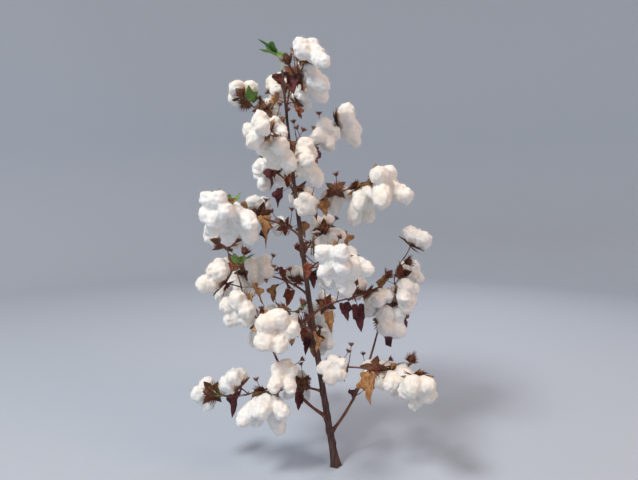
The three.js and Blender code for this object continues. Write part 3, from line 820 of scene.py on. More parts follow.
def plan_bare_twigs(limb):
    random = SeededNumbers(limb.layout.seed + BARE_SEED)
    for site in late_sites(limb)[:BARE_SITES]:
        for _ in range(TRIES):
            swing = heading(random.between((0, 360)), random.between(BARE_RISE))
            direction = unit(site.direction * BARE_FORWARD + swing)
            end = site.point + unit(direction + UP * BARE_LIFT) * random.between(BARE_LENGTH)
            path = Bow(site.point, direction, end)
            stalk = beads_along(path, BARE_RADIUS, BARE_RADIUS, leaf=1)[2:]
            own = np.concatenate([stalk, beads_at(end, BUD_ROOM, leaf=1)])
            if fits_in(own, limb):
                take(own, limb.layout.mass_name)
                limb.bare.append(path)
                break


print("bare twigs are", BARE_LENGTH[0], "to", BARE_LENGTH[1], "mm long")

# %% Grow the finer parts
for plan_step in (plan_late_boll, plan_withered_leaves, plan_bare_twigs):
    for limb in limbs:
        plan_step(limb)
bolls = [boll for limb in limbs for boll in limb.bolls]
closed_bolls = [closed for limb in limbs for closed in limb.closed]
bare_twigs = [path for limb in limbs for path in limb.bare]
print("open bolls:", len(bolls), "closed:", len(closed_bolls), "bare twigs:", len(bare_twigs))

# %% [markdown]
# ## From curves to surfaces
# Nearly everything on the plant is either a tube (stem, boughs, twigs, stalks) or a thin plate
# (valves, bracts, leaves). Curve objects with a bevel could make the tubes, but rings of our own
# can swell at every node and carry furrows. A heap gathers the shapes of one kind and turns them
# into one mesh at the end, which is far quicker than hundreds of objects.

# %% Heaps
MM = 0.001


class Heap:
    """Gathers the points and faces of one kind of surface, in millimetres."""

    def __init__(self):
        self.points, self.faces, self.slots = [], [], []
        self.count = 0

    def add(self, shape, slots=0):
        points, groups = shape
        for faces, slot in zip(groups, np.broadcast_to(slots, len(groups))):
            self.faces.append(faces + self.count)
            self.slots.append(np.full(len(faces), slot))
        self.points.append(points)
        self.count += len(points)

    def mesh(self, name):
        corners = np.concatenate([faces.ravel() for faces in self.faces])
        sizes = np.concatenate([np.full(len(faces), faces.shape[1]) for faces in self.faces])
        mesh = bpy.data.meshes.new(name)
        mesh.vertices.add(self.count)
        mesh.vertices.foreach_set("co", (np.concatenate(self.points) * MM).ravel())
        mesh.loops.add(len(corners))
        mesh.loops.foreach_set("vertex_index", corners)
        mesh.polygons.add(len(sizes))
        mesh.polygons.foreach_set("loop_start", np.cumsum(sizes) - sizes)
        mesh.polygons.foreach_set("material_index", np.concatenate(self.slots))
        mesh.update(calc_edges=True)
        mesh.shade_smooth()
        return mesh


print("one step of the rule is", MM, "m in Blender")

# %% [markdown]
# ## Tubes
# A tube is a row of rings around a curve. Its rings must not twist, so each one starts from the
# direction of the ring before it.


# %% Tubes
def sides_along(points):
    """Two directions square to the curve at each point, turned no more than the curve turns."""
    ahead = np.gradient(points, axis=0)
    ahead /= np.linalg.norm(ahead, axis=1, keepdims=True)
    first = np.empty_like(points)
    last = SIDE if abs(ahead[0][2]) > NEARLY_UPRIGHT else UP
    for i, direction in enumerate(ahead):
        last = first[i] = square_to(last, direction)
    return first, np.cross(ahead, first)


def sweep(points, radii, sides):
    """A closed tube. radii has a radius for each point, or one for each point and side."""
    points = np.asarray(points, float)
    rows = len(points)
    first, second = sides_along(points)
    angles = 2 * math.pi * np.arange(sides)[:, None] / sides
    radii = np.broadcast_to(np.asarray(radii, float).reshape(rows, -1), (rows, sides))[..., None]
    outward = first[:, None] * np.cos(angles) + second[:, None] * np.sin(angles)
    rings = points[:, None] + radii * outward
    here = np.arange(rows * sides).reshape(rows, sides)
    beside = np.roll(here, -1, axis=1)
    walls = np.stack([here[:-1], beside[:-1], beside[1:], here[1:]], -1).reshape(-1, 4)
    start, end = np.full(sides, rows * sides), np.full(sides, rows * sides + 1)
    caps = np.concatenate([np.stack([start, beside[0], here[0]], -1),
                           np.stack([end, here[-1], beside[-1]], -1)])
    return np.concatenate([rings.reshape(-1, 3), points[[0, -1]]]), [walls, caps]


print("points of a tube with 2 rings of 8:", len(sweep([UP * 0, UP], [1, 1], 8)[0]))

# %% [markdown]
# ## Plates
# A plate is a grid of points with a front, a back and a rim, so a leaf is a thin closed shell like
# the real thing, and not a sheet with no thickness. Nothing that grows is even, so a sum of
# waves in random directions ripples tubes and plates. It is smooth, and its size is easy to set.


# %% Plates and ripples
RIPPLE_WAVES, PITCH_SPREAD = 12, (0.7, 1.5)


def plate(grid, thickness):
    """A thin closed shell around a grid of points: its front, its back and its rim."""
    rows, columns = grid.shape[:2]
    normal = np.cross(np.gradient(grid, axis=1), np.gradient(grid, axis=0))
    normal /= np.linalg.norm(normal, axis=2, keepdims=True) + 1e-9
    half = normal * thickness / 2
    here = np.arange(rows * columns).reshape(rows, columns)
    front = np.stack([here[:-1, :-1], here[:-1, 1:], here[1:, 1:], here[1:, :-1]], -1)
    front = front.reshape(-1, 4)
    edge = np.concatenate([here[0, :-1], here[:-1, -1], here[-1, :0:-1], here[:0:-1, 0]])
    after = np.roll(edge, -1)
    far = rows * columns
    rim = np.stack([edge, edge + far, after + far, after], -1)
    points = np.concatenate([(grid + half).reshape(-1, 3), (grid - half).reshape(-1, 3)])
    return points, [front, front[:, ::-1] + far, rim]


def ripples(points, size_mm, random):
    """Smooth random numbers around zero that change over about size_mm."""
    total = np.zeros(points.shape[:-1])
    for _ in range(RIPPLE_WAVES):
        direction = unit(random.normal(size=3))
        pitch = size_mm * random.uniform(*PITCH_SPREAD)
        phase = random.uniform(0, 2 * math.pi)
        total += np.sin(points @ direction * 2 * math.pi / pitch + phase)
    return total / math.sqrt(RIPPLE_WAVES / 2)


ripple_sample = ripples(np.random.default_rng(1).uniform(0, 500, (2000, 3)), 20,
                        np.random.default_rng(2))
print("usual height of a ripple:", round(float(ripple_sample.std()), 2))

# %% [markdown]
# ## Pieces of the model
# Every finished mesh becomes one piece. It rides on the only body of the plant, hides the solids
# that it stands for, and takes its finishes into its material slots.

# %% Pieces
triangle_counts = {}


def add_piece(name, heap, finishes, replaced):
    mesh = heap.mesh(name)
    for finish in finishes:
        mesh.materials.append(finish)
    piece = bpy.data.objects.new(name, mesh)
    bpy.context.scene.collection.objects.link(piece)
    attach(piece, "root")
    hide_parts(*replaced)
    triangle_counts[name] = len(mesh.loops) - 2 * len(mesh.polygons)
    print(name, "triangles:", triangle_counts[name])


# %% [markdown]
# ## Bark
# Cotton wood has a thin bark, dried by weather. It scatters light evenly and has a faint sheen
# where rain polished it: an IOR of 1.53, as for other dry plant fibre, and a roughness of 0.6 to
# 0.8. Dark streaks in the low places of its grain are painted shade. Wide blotches are partly
# weathering and partly painted sun and shade. Its pores show as pale dots.
# An image of bark could be used too, but random patterns fit any branch without a seam.


# %% Recipe for bark
# Blender's noise stays near 0.5. Stretched from this span, it uses nearly all of a blend.
NOISE_SPAN = {"From Min": 0.36, "From Max": 0.64}
BARK_IOR, BARK_DULL, BARK_POLISHED = 1.53, 0.8, 0.6
PORE_EDGE, PORE_MIDDLE = 0.24, 0.1
PORE_CROWDS = {"From Min": 0.48, "From Max": 0.66}


def dry_bark(name, dark, warm, aged, pore, streak_mm, stretch, blotch_mm, pore_mm, depth_mm):
    """Blotches from warm to aged, partly weathering and partly painted sun and shade, under dark
    streaks of painted shade in the grain's low places and crowds of pale pores.
    """
    material, place = new_finish(name)
    drawn_out = add_node(material, "ShaderNodeMapping", {
        "Vector": place, "Scale": (1, 1, 1 / stretch)})
    fibres = add_node(material, "ShaderNodeTexNoise", {
        "Vector": drawn_out, "Scale": 1000 / streak_mm, "Detail": 5})
    streak = add_node(material, "ShaderNodeMapRange", {
        "Value": fibres, **NOISE_SPAN})
    # Wide blotches: partly weathering, partly painted sun and shade.
    blotch = add_node(material, "ShaderNodeTexNoise", {
        "Vector": place, "Scale": 1000 / blotch_mm, "Detail": 3})
    weathering_and_sun_shade = add_node(material, "ShaderNodeMapRange", {
        "Value": blotch, **NOISE_SPAN})
    cells = add_node(material, "ShaderNodeTexVoronoi", {
        "Vector": place, "Scale": 1000 / pore_mm})
    dots = add_node(material, "ShaderNodeMapRange", {
        "Value": cells, "From Min": PORE_EDGE, "From Max": PORE_MIDDLE})
    crowd = add_node(material, "ShaderNodeTexNoise", {
        "Vector": place, "Scale": 200 / pore_mm})
    crowded = add_node(material, "ShaderNodeMapRange", {
        "Value": crowd, **PORE_CROWDS})
    pores = add_node(material, "ShaderNodeMath", {0: dots, 1: crowded}, operation="MULTIPLY")
    sunny = add_node(material, "ShaderNodeMixRGB", {
        "Fac": weathering_and_sun_shade, "Color1": linear(warm), "Color2": linear(aged)})
    # Painted shade: the dark colour fills the low places of the grain, where the relief dips.
    groove_shaded = add_node(material, "ShaderNodeMixRGB", {
        "Fac": streak, "Color1": linear(dark), "Color2": sunny})
    dotted = add_node(material, "ShaderNodeMixRGB", {
        "Fac": pores, "Color1": groove_shaded, "Color2": linear(pore)})
    dullness = add_node(material, "ShaderNodeMapRange", {
        "Value": streak, "To Min": BARK_DULL, "To Max": BARK_POLISHED})
    relief = add_node(material, "ShaderNodeBump", {"Height": streak, "Distance": depth_mm * MM})
    skin = add_node(material, "ShaderNodeBsdfPrincipled", {
        "Base Color": dotted, "Roughness": dullness, "IOR": BARK_IOR, "Normal": relief})
    add_node(material, "ShaderNodeOutputMaterial", {"Surface": skin})
    return material


print("roughness of bark:", BARK_POLISHED, "to", BARK_DULL)

# %% [markdown]
# ## Bark of the stem
# The old bark at the bottom split as the stem grew thicker, and weathered to a dark purple brown.
# Its fissures run upwards, about 1 mm apart, and its pores are half a millimetre wide. Both are too
# fine for the render: the fissures are drawn 6 mm apart, and the pores 1 to 2 mm wide.

# %% Bark of the stem
# dark is the painted shade in the fissures.
stem_finish = dry_bark("furrowed_stem_bark", dark="3c2425", warm="664538", aged="553830",
                       pore="8c7260", streak_mm=6, stretch=8, blotch_mm=45, pore_mm=4, depth_mm=1.8)
print("bark of the stem:", stem_finish.name)

# %% [markdown]
# ## Bark of the branches
# The young bark is smooth, and redder where light reached it. Branches go all ways, so its grain
# isn't drawn out along any of them. Its pores are drawn coarse for the same reason as the stem's.

# %% Bark of the branches
# dark is the painted shade in the grain's low places.
branch_finish = dry_bark("smooth_branch_bark", dark="4d2c28", warm="6e3d30", aged="97603f",
                         pore="a98a6c", streak_mm=4, stretch=1, blotch_mm=22, pore_mm=3,
                         depth_mm=0.5)
print("bark of the branches:", branch_finish.name)

# %% [markdown]
# ## Main stem
# The stem has long shallow furrows, a swelling where each branch leaves, and a half-moon scar under
# it, where a leaf dropped. At its foot it spreads into a few ridges, the tops of its roots. Relief
# that shows against the light is in the mesh: one radius for each ring and side. Sculpting would
# also do, but a formula puts a swelling exactly where each branch leaves.

# %% Furrows and ridges
STEM_MESH_ROWS, STEM_MESH_SIDES = 420, 36
FURROWS, FURROW_DEPTH, FINE_FURROWS, FINE_FURROW_SHARE = 5, 0.045, 11, 0.6
LONG_WAVER, LONG_WAVER_MM, SHORT_WAVER, SHORT_WAVER_MM = 1.4, 90, 0.8, 37
ROOT_RIDGES, ROOT_RIDGE_TURN, ROOT_RIDGE_DEPTH, ROOT_RIDGE_HEIGHT = 5, 0.7, 2.2, 30

heights = STEM_HEIGHT * np.linspace(0, 1, STEM_MESH_ROWS)[:, None]
angles = 2 * math.pi * np.arange(STEM_MESH_SIDES)[None] / STEM_MESH_SIDES
waver = LONG_WAVER * np.sin(heights / LONG_WAVER_MM)
waver = waver + SHORT_WAVER * np.sin(heights / SHORT_WAVER_MM + 1)
furrow = np.sin(FURROWS * angles + waver)
furrow = furrow + FINE_FURROW_SHARE * np.sin(FINE_FURROWS * angles - 2 * waver)
ridge = np.cos(ROOT_RIDGES * angles + ROOT_RIDGE_TURN) * np.exp(-heights / ROOT_RIDGE_HEIGHT)
relief = stem_radius(heights) * (1 + FURROW_DEPTH * furrow) + ROOT_RIDGE_DEPTH * ridge
print("radius of the stem in mm:", relief.min().round(1), "to", relief.max().round(1))

# %% Nodes and leaf scars
NODE_SWELLING, NODE_LENGTH = 2.0, 9
SCAR_SWELLING, SCAR_LENGTH, SCAR_DROP, SCAR_NARROWNESS = 1.1, 3.2, 7, 6
LOWEST_NODE, LOW_NODE_STEP = 30, 34

low_heights = range(LOWEST_BRANCH - LOW_NODE_STEP, LOWEST_NODE, -LOW_NODE_STEP)
stem_nodes = [(height, FIRST_AZIMUTH - SPIRAL * (k + 1)) for k, height in enumerate(low_heights)]
stem_nodes += [(limb.layout.height, limb.layout.azimuth) for limb in limbs]
for node_height, azimuth in stem_nodes:
    facing = 0.5 + 0.5 * np.cos(angles - math.radians(azimuth))
    swell = NODE_SWELLING * np.exp(-((heights - node_height) / NODE_LENGTH) ** 2)
    scar = SCAR_SWELLING * np.exp(-((heights - node_height + SCAR_DROP) / SCAR_LENGTH) ** 2)
    thinner = stem_radius(node_height) / STEM_BASE_RADIUS
    relief = relief + thinner * (swell * facing + scar * facing**SCAR_NARROWNESS)

stem_points, stem_faces = sweep(stem_point(heights[:, 0]), relief, STEM_MESH_SIDES)
stem_points[:, 2] = np.maximum(stem_points[:, 2], 0)
stem_heap = Heap()
stem_heap.add((stem_points, stem_faces))
add_piece("stem_bark_surface", stem_heap, [stem_finish], ["main_stem"])

# %% [markdown]
# ## Boughs
# Each bough leaves the stem through a swollen collar and tapers to its first node. The collar is
# what makes a branch look grown on, where a plain tube would look pushed in.

# %% Boughs
BOUGH_ROWS, BOUGH_SIDES = 40, 14
COLLAR, COLLAR_LENGTH = 2.4, 9
BOUGH_FURROWS, BOUGH_FURROW_DEPTH, BOUGH_FURROW_RUN = 3, 0.05, 30
BOUGH_UNEVEN, BOUGH_UNEVEN_MM = 0.06, 40
finish_random = np.random.default_rng(SEED)


def bough_mesh(limb):
    layout = limb.layout
    shares = np.linspace(0, 1, BOUGH_ROWS)
    points = limb.bough.point(shares)
    reached = shares * layout.length
    beyond_stem = np.maximum(reached - stem_radius(layout.height), 0)
    collar = COLLAR * layout.root_radius / SIDE_STEM_RADIUS
    radii = mix(layout.root_radius, layout.tip_radius, shares)
    radii = radii + collar * np.exp(-(beyond_stem / COLLAR_LENGTH) ** 2)
    turns = 2 * math.pi * np.arange(BOUGH_SIDES) / BOUGH_SIDES
    winding = BOUGH_FURROWS * turns[None] + reached[:, None] / BOUGH_FURROW_RUN
    furrows = 1 + BOUGH_FURROW_DEPTH * np.sin(winding)
    uneven = 1 + BOUGH_UNEVEN * ripples(points, BOUGH_UNEVEN_MM, finish_random)
    return sweep(points, radii[:, None] * furrows * uneven[:, None], BOUGH_SIDES)


bough_heap = Heap()
for limb in limbs:
    bough_heap.add(bough_mesh(limb))
add_piece("bough_bark_surface", bough_heap, [branch_finish], bough_names)

# %% [markdown]
# ## Twigs
# From its first node the branch goes on in a zigzag. All of a limb's twigs are one tube, so that
# no joint shows, and every node is a little thicker than the wood between. At each node a short
# dead stub stands out, where a leaf stalk broke off.

# %% Twigs
TWIG_STEP, TWIG_SIDES = 3, 10
NODE_BULGE, NODE_BULGE_LENGTH = 1.0, 4
TWIG_START, TWIG_START_SWELL = 0.97, 1.02
TWIG_END_RADIUS, TWIG_UNEVEN, TWIG_UNEVEN_MM = 1.1, 0.06, 18


def twig_mesh(limb):
    """One tube through all the twigs of a limb. It starts inside the bough's tip."""
    runs = [limb.bough.point(np.array([TWIG_START]))]
    for twig in limb.twigs:
        steps = math.ceil(twig.span / TWIG_STEP)
        runs.append(twig.point(np.arange(steps) / steps))
    points = np.concatenate([*runs, limb.twigs[-1].point(np.array([1.0]))])
    start_radius = limb.layout.tip_radius * TWIG_START_SWELL
    radii = mix(start_radius, TWIG_END_RADIUS, np.linspace(0, 1, len(points)))
    for site in sites_of(limb):
        away = np.linalg.norm(points - site.point, axis=1)
        radii = radii + NODE_BULGE * np.exp(-(away / NODE_BULGE_LENGTH) ** 2)
    uneven = 1 + TWIG_UNEVEN * ripples(points, TWIG_UNEVEN_MM, finish_random)
    return sweep(points, radii * uneven, TWIG_SIDES)


print("a twig tapers from", TWIG_RADIUS, "to", TWIG_END_RADIUS, "mm in radius")

# %% Stubs
STUB_LENGTH, STUB_FORWARD, STUB_SCATTER, STUB_LIFT, STUB_SIDES = (9, 22), 0.5, 0.7, 0.3, 7
STUB_RADII = np.array([1.5, 1.0, 0.8, 0.75, 0.8, 1.15, 0.7])


def stub_mesh(site):
    """A broken leaf stalk, which is thicker at its foot and at its dry end."""
    scatter = finish_random.normal(size=3) * STUB_SCATTER
    direction = unit(site.direction * STUB_FORWARD + scatter)
    along = unit(direction + UP * STUB_LIFT)
    path = Bow(site.point, direction, site.point + along * finish_random.uniform(*STUB_LENGTH))
    return sweep(path.point(np.linspace(0, 1, len(STUB_RADII))), STUB_RADII, STUB_SIDES)


twig_heap = Heap()
for limb in limbs:
    twig_heap.add(twig_mesh(limb))
    for site in sites_of(limb):
        if not site.tip:
            twig_heap.add(stub_mesh(site))
print("points in twigs and stubs:", twig_heap.count)

# %% [markdown]
# ## Stalks
# A boll's stalk is thin in the middle and widens into a cushion, which carries the heavy boll. A
# list of radii along each stalk is enough to say that. Stalks of dead leaves have the same bark,
# and are added here. Stalks of live leaves are green, and come with the leaves.

# %% Stalks
STALK_ROWS, STALK_NECK, CUSHION_FOOT = 9, 1.5, 4
CUSHION_REACHES, CUSHION_RADII = (2, 4, 1), np.array([7, 9, 8])
SPUR_RADII, SPUR_SIDES = [2.2, 1.7, 1.5, 1.4, 1.4, 1.4, 1.6, 2.2, 3.4], 8
LEAF_STALK_RADII, LEAF_STALK_SIDES = [1.5, 1.0, 0.8, 0.7, 0.7, 0.75, 0.9, 1.1], 6


def boll_stalk_mesh(boll):
    """The stalk of a boll, which widens into the cushion that the burr sits on."""
    shares = np.linspace(0, 1, STALK_ROWS)
    stalk = boll.pedicel.point(shares)
    radii = mix(TWIG_RADIUS, STALK_NECK, np.sin(shares * math.pi) ** 0.5)
    radii[-1] = CUSHION_FOOT * boll.size
    ahead, seat, top = CUSHION_REACHES
    turn = unit(boll.pedicel.tangent(1) + boll.axis)
    cushion = [stalk[-1] + turn * ahead * boll.size, boll.centre - boll.axis * seat * boll.size,
               boll.centre - boll.axis * top * boll.size]
    return sweep([*stalk, *cushion], [*radii, *(CUSHION_RADII * boll.size)], TWIG_SIDES)


def stalk_mesh(path, radii, sides):
    return sweep(path.point(np.linspace(0, 1, len(radii))), radii, sides)


for boll in bolls:
    twig_heap.add(boll_stalk_mesh(boll))
for closed in closed_bolls:
    twig_heap.add(stalk_mesh(closed.spur, SPUR_RADII, SPUR_SIDES))
print("points in twigs, stubs and stalks:", twig_heap.count)

# %% [markdown]
# ## Bare twigs
# Where a flower bud dried up before it opened, a thin twig is left that carries no boll. It has one
# node in the middle, and a knob at its end for the dried bud that comes later. A row of radii along
# the curve is enough for both.

# %% Bare twigs and stalks of dead leaves
BARE_ROWS, BARE_SIDES, BARE_FOOT, BARE_THIN, BARE_TIP = 12, 7, 1.5, 0.7, 1.2
BARE_NODE, BARE_NODE_AT, BARE_NODE_LENGTH = 0.5, 0.55, 0.06


def bare_twig_mesh(path):
    shares = np.linspace(0, 1, BARE_ROWS)
    node = BARE_NODE * np.exp(-((shares - BARE_NODE_AT) / BARE_NODE_LENGTH) ** 2)
    radii = mix(BARE_FOOT, BARE_THIN, shares) + node
    radii[-1] = BARE_TIP
    return sweep(path.point(shares), radii, BARE_SIDES)


for path in bare_twigs:
    twig_heap.add(bare_twig_mesh(path))
for limb in limbs:
    for leaf in limb.leaves:
        if not leaf.green:
            twig_heap.add(stalk_mesh(leaf.stalk, LEAF_STALK_RADII, LEAF_STALK_SIDES))
add_piece("twigs", twig_heap, [branch_finish], mass_names)

# %% [markdown]
# ## Dry and living tissue
# Burr, bract and leaf are all plant tissue: cellulose, whose IOR is about 1.5, with no metal in it.
# What tells them apart is colour, how matt they dried, and how coarse their patches are. So one
# recipe makes them all: two tones in patches, and a grain that gives relief and varies the shine.
# A live leaf keeps a waxy skin, so it shines softly. A dead one is as dull as paper.


# %% Recipe for plant tissue
TISSUE_IOR = 1.5


def plant_tissue(name, dark, light, patch_mm, grain_mm, depth_mm, roughness):
    """roughness is that of the grain's low and of its high places."""
    material, place = new_finish(name)
    patch = add_node(material, "ShaderNodeTexNoise", {
        "Vector": place, "Scale": 1000 / patch_mm, "Detail": 5})
    share = add_node(material, "ShaderNodeMapRange", {
        "Value": patch, **NOISE_SPAN})
    tone = add_node(material, "ShaderNodeMixRGB", {
        "Fac": share, "Color1": linear(dark), "Color2": linear(light)})
    grain = add_node(material, "ShaderNodeTexNoise", {
        "Vector": place, "Scale": 1000 / grain_mm, "Detail": 4})
    dullness = add_node(material, "ShaderNodeMapRange", {
        "Value": grain, **NOISE_SPAN, "To Min": roughness[0], "To Max": roughness[1]})
    relief = add_node(material, "ShaderNodeBump", {"Height": grain, "Distance": depth_mm * MM})
    skin = add_node(material, "ShaderNodeBsdfPrincipled", {
        "Base Color": tone, "Roughness": dullness, "IOR": TISSUE_IOR, "Normal": relief})
    add_node(material, "ShaderNodeOutputMaterial", {"Surface": skin})
    return material


print("IOR of plant tissue:", TISSUE_IOR)

# %% [markdown]
# ## Burrs
# The dry shell of the boll is called the burr. Each of its valves was a wall between two locks. It
# is woody, about a millimetre thick, cupped like a spoon and ends in a hard point. The inside, kept
# clean by the lint, is a smooth golden tan. The outside has weathered to a duller dark brown. A
# plate takes one finish on its front and another on its back and rim, which gives both at once.
# Both grains are about 1 mm on a real burr, too fine for the render, and are drawn at 5 to 6 mm.

# %% Finishes of the burr
valve_inside = plant_tissue("golden_inside_of_burr", "b07d48", "d2a76c", patch_mm=5, grain_mm=5,
                            depth_mm=0.6, roughness=(0.45, 0.58))
valve_outside = plant_tissue("weathered_outside_of_burr", "3d2318", "6b412a", patch_mm=6,
                             grain_mm=6, depth_mm=0.6, roughness=(0.6, 0.75))
print("burr finishes:", valve_inside.name, valve_outside.name)

# %% Valves
VALVE_ROWS, VALVE_COLUMNS, VALVE_THICKNESS = 9, 7, 1.1
VALVE_WIDTHS = ([0, 0.15, 0.35, 0.55, 0.75, 0.9, 1], [9, 17, 22, 20, 12, 5, 0.7])
VALVE_SPAN, VALVE_START, VALVE_CUP, VALVE_RISE, TIP_RISE = 43, 3, 3.4, 1.6, 3
VALVE_LOW, VALVE_END = -11, -4
VALVE_HOOK, VALVE_TWIST, VALVE_WARP, VALVE_WARP_MM = 5, 2.5, 0.5, 16


def valve_mesh(boll, turn):
    outward = around(boll.axis, turn)
    aside = np.cross(boll.axis, outward)
    along = np.linspace(0, 1, VALVE_ROWS)[:, None]
    across = np.linspace(-1, 1, VALVE_COLUMNS)[None]
    width = across * np.interp(along, *VALVE_WIDTHS) / 2
    reach = mix(VALVE_START, VALVE_SPAN, along) + 0 * across
    hook = finish_random.uniform(-VALVE_HOOK, VALVE_HOOK)
    twist = finish_random.uniform(-VALVE_TWIST, VALVE_TWIST)
    tip = along**TIP_RISE
    rise = mix(VALVE_LOW, VALVE_END, along**VALVE_RISE) + VALVE_CUP * across**2 * (1 - tip)
    rise = rise + hook * tip + twist * along * across
    warp = VALVE_WARP * ripples(np.stack([reach, width, rise], -1), VALVE_WARP_MM, finish_random)
    grid = (reach[..., None] * outward + width[..., None] * aside
            + (rise + warp)[..., None] * boll.axis)
    return plate(boll.centre + grid * boll.size, VALVE_THICKNESS)


valve_heap = Heap()
for boll in bolls:
    for i in range(boll.lock_count):
        turn = boll.roll + 360 / boll.lock_count * (i + 0.5)
        valve_heap.add(valve_mesh(boll, turn), slots=[1, 0, 1])
add_piece("burr_valves", valve_heap, [valve_inside, valve_outside], mass_names)

# %% [markdown]
# ## Bracts
# Three leafy bracts stand around every boll, with long teeth at their edge. At harvest they are
# papery and curled, reddish brown, and stick out behind the burr like small torn stars. A grid
# whose last row runs out and back again makes the teeth without cutting anything.

# %% Shape of a bract
BRACT_TEETH, BRACT_ROWS, BRACT_THICKNESS = 9, 5, 0.5
BRACT_NOTCH, BRACT_TOOTH, BRACT_HALF_FAN = 21, 17, 64
BRACT_SHOULDER, BRACT_SIDE_TOOTH, TOOTH_SPREAD, BRACT_HOLE = 0.75, 0.45, (0.7, 1.1), 0.06
BRACT_CRUMPLE, BRACT_CRUMPLE_MM, BRACT_PATTERN_MM = 1.8, 26, 50


def bract_mesh(foot, axis, turn, size, flare, curl, teeth=BRACT_TEETH, rows=BRACT_ROWS):
    outward = around(axis, turn)
    aside = np.cross(axis, outward)
    columns = 2 * teeth + 1
    fan = np.radians(np.linspace(-BRACT_HALF_FAN, BRACT_HALF_FAN, columns))[None]
    is_tooth = (np.arange(columns) % 2)[None]
    tooth = BRACT_TOOTH * is_tooth * finish_random.uniform(*TOOTH_SPREAD, (1, columns))
    middle = np.cos(fan)
    reach = BRACT_NOTCH * mix(BRACT_SHOULDER, 1, middle) + tooth * mix(BRACT_SIDE_TOOTH, 1, middle)
    along = np.linspace(BRACT_HOLE, 1, rows)[:, None]
    out = along * reach
    flat = np.stack([out * np.cos(fan), out * np.sin(fan), 0 * out], -1)
    start = BRACT_PATTERN_MM * finish_random.normal(size=3)
    crumple = BRACT_CRUMPLE * along * ripples(flat + start, BRACT_CRUMPLE_MM, finish_random)
    tilt = math.radians(flare)
    lift = out * math.sin(tilt) + curl * (out / (BRACT_NOTCH + BRACT_TOOTH)) ** 2 + crumple
    grid = (flat[..., :1] * math.cos(tilt) * outward + flat[..., 1:2] * aside
            + lift[..., None] * axis)
    return plate(foot + grid * size, BRACT_THICKNESS)


print("a bract reaches out", BRACT_NOTCH + BRACT_TOOTH, "mm")

# %% Bracts of the open bolls
BRACTS, BRACT_FOOT = 3, -14
BRACT_FLARE, BRACT_CURL, BRACT_TURN = (-20, 38), (-7, 9), 12
BRACT_TINTS = 2
bract_heap = Heap()


def add_bracts(foot, axis, first_turn, size, flares, curls, **detail):
    """Three bracts around a foot, each with its own turn, flare, curl and tint."""
    for i in range(BRACTS):
        turn = first_turn + 360 / BRACTS * i + finish_random.uniform(-BRACT_TURN, BRACT_TURN)
        flare, curl = finish_random.uniform(*flares), finish_random.uniform(*curls)
        bract = bract_mesh(foot, axis, turn, size, flare, curl, **detail)
        bract_heap.add(bract, slots=int(finish_random.integers(BRACT_TINTS)))


for boll in bolls:
    foot = boll.centre + boll.axis * BRACT_FOOT * boll.size
    first_turn = finish_random.uniform(0, 360)
    add_bracts(foot, boll.axis, first_turn, boll.size, BRACT_FLARE, BRACT_CURL)
print("bracts of open bolls:", BRACTS * len(bolls))

# %% [markdown]
# ## Closed bolls and buds
# A boll that dried before it opened is an egg with a point, and four seams down its sides, where
# it would have split. A dried flower bud is the same shape, a third as large. Both are hugged by
# their bracts. A tube whose rings follow the outline of the egg takes the seams as dips.

# %% Shape of a closed boll
SEAM_DEPTH, SEAM_TURN, SEAM_NARROWNESS = 0.1, 0.4, 6
CLOSED_PROFILE = ([-2, 2, 6, 12, 18, 23, 26, 27], [3, 8, 9.8, 10, 7.8, 4.4, 1.8, 0.6])


def egg_mesh(foot, axis, size, rows, sides):
    levels = np.linspace(CLOSED_PROFILE[0][0], CLOSED_LENGTH, rows)
    turns = 2 * math.pi * np.arange(sides)[None] / sides
    seams = 1 - SEAM_DEPTH * np.abs(np.cos(2 * turns + SEAM_TURN)) ** SEAM_NARROWNESS
    radii = np.interp(levels, *CLOSED_PROFILE)[:, None] * seams
    return sweep(foot + levels[:, None] * axis * size, radii * size, sides)


print("a closed boll is", 2 * max(CLOSED_PROFILE[1]), "mm wide")

# %% Closed bolls and buds
CLOSED_ROWS, CLOSED_SIDES = 16, 24
CLOSED_BRACT, CLOSED_FLARE, CLOSED_CURL = 0.78, (48, 66), (-3, 4)
CLOSED_BRACT_FOOT, CLOSED_BRACT_TURN = 3, 30
BUD_SIZE, BUD_SIDES = 0.36, 12
BUD_BRACTS = dict(teeth=5, rows=3)

closed_heap = Heap()
for closed in closed_bolls:
    closed_heap.add(egg_mesh(closed.centre, closed.axis, 1, CLOSED_ROWS, CLOSED_SIDES))
    foot = closed.centre - closed.axis * CLOSED_BRACT_FOOT
    add_bracts(foot, closed.axis, CLOSED_BRACT_TURN, CLOSED_BRACT, CLOSED_FLARE, CLOSED_CURL)
for path in bare_twigs:
    foot, axis = path.point(1), path.tangent(1)
    closed_heap.add(egg_mesh(foot, axis, BUD_SIZE, CLOSED_ROWS // 2, BUD_SIDES))
    add_bracts(foot - axis, axis, 0, BUD_SIZE, CLOSED_FLARE, CLOSED_CURL, **BUD_BRACTS)
print("points in closed bolls and buds:", closed_heap.count)

# %% [markdown]
# ## Skin of the closed bolls
# The skin shrank onto the seeds as it dried, so it is wrinkled and satin, like a nut's shell. Its
# wrinkles are about 2 mm apart on a real boll, too fine for the render, and are drawn at 7 mm.

# %% Skin of the closed bolls
boll_skin = plant_tissue("dried_boll_skin", "3a2015", "6f4429", patch_mm=7, grain_mm=7,
                         depth_mm=0.6, roughness=(0.45, 0.58))
add_piece("closed_bolls", closed_heap, [boll_skin], mass_names)

# %% [markdown]
# ## Finishes of the bracts
# Bracts are dead and papery, so they are matt. One tint would make all three look like one piece,
# so every bract takes a red or a brown one. Their veinlets are a third of a millimetre apart, too
# fine to show, and are drawn as a crumpled grain of 2 mm.

# %% Finishes of the bracts
bract_finishes = [
    plant_tissue("dry_red_bract", "5e2a1e", "8f452c", patch_mm=9, grain_mm=2, depth_mm=0.4,
                 roughness=(0.74, 0.88)),
    plant_tissue("dry_brown_bract", "54311f", "8a5b38", patch_mm=9, grain_mm=2, depth_mm=0.4,
                 roughness=(0.74, 0.88))]
add_piece("bracts", bract_heap, bract_finishes, mass_names)

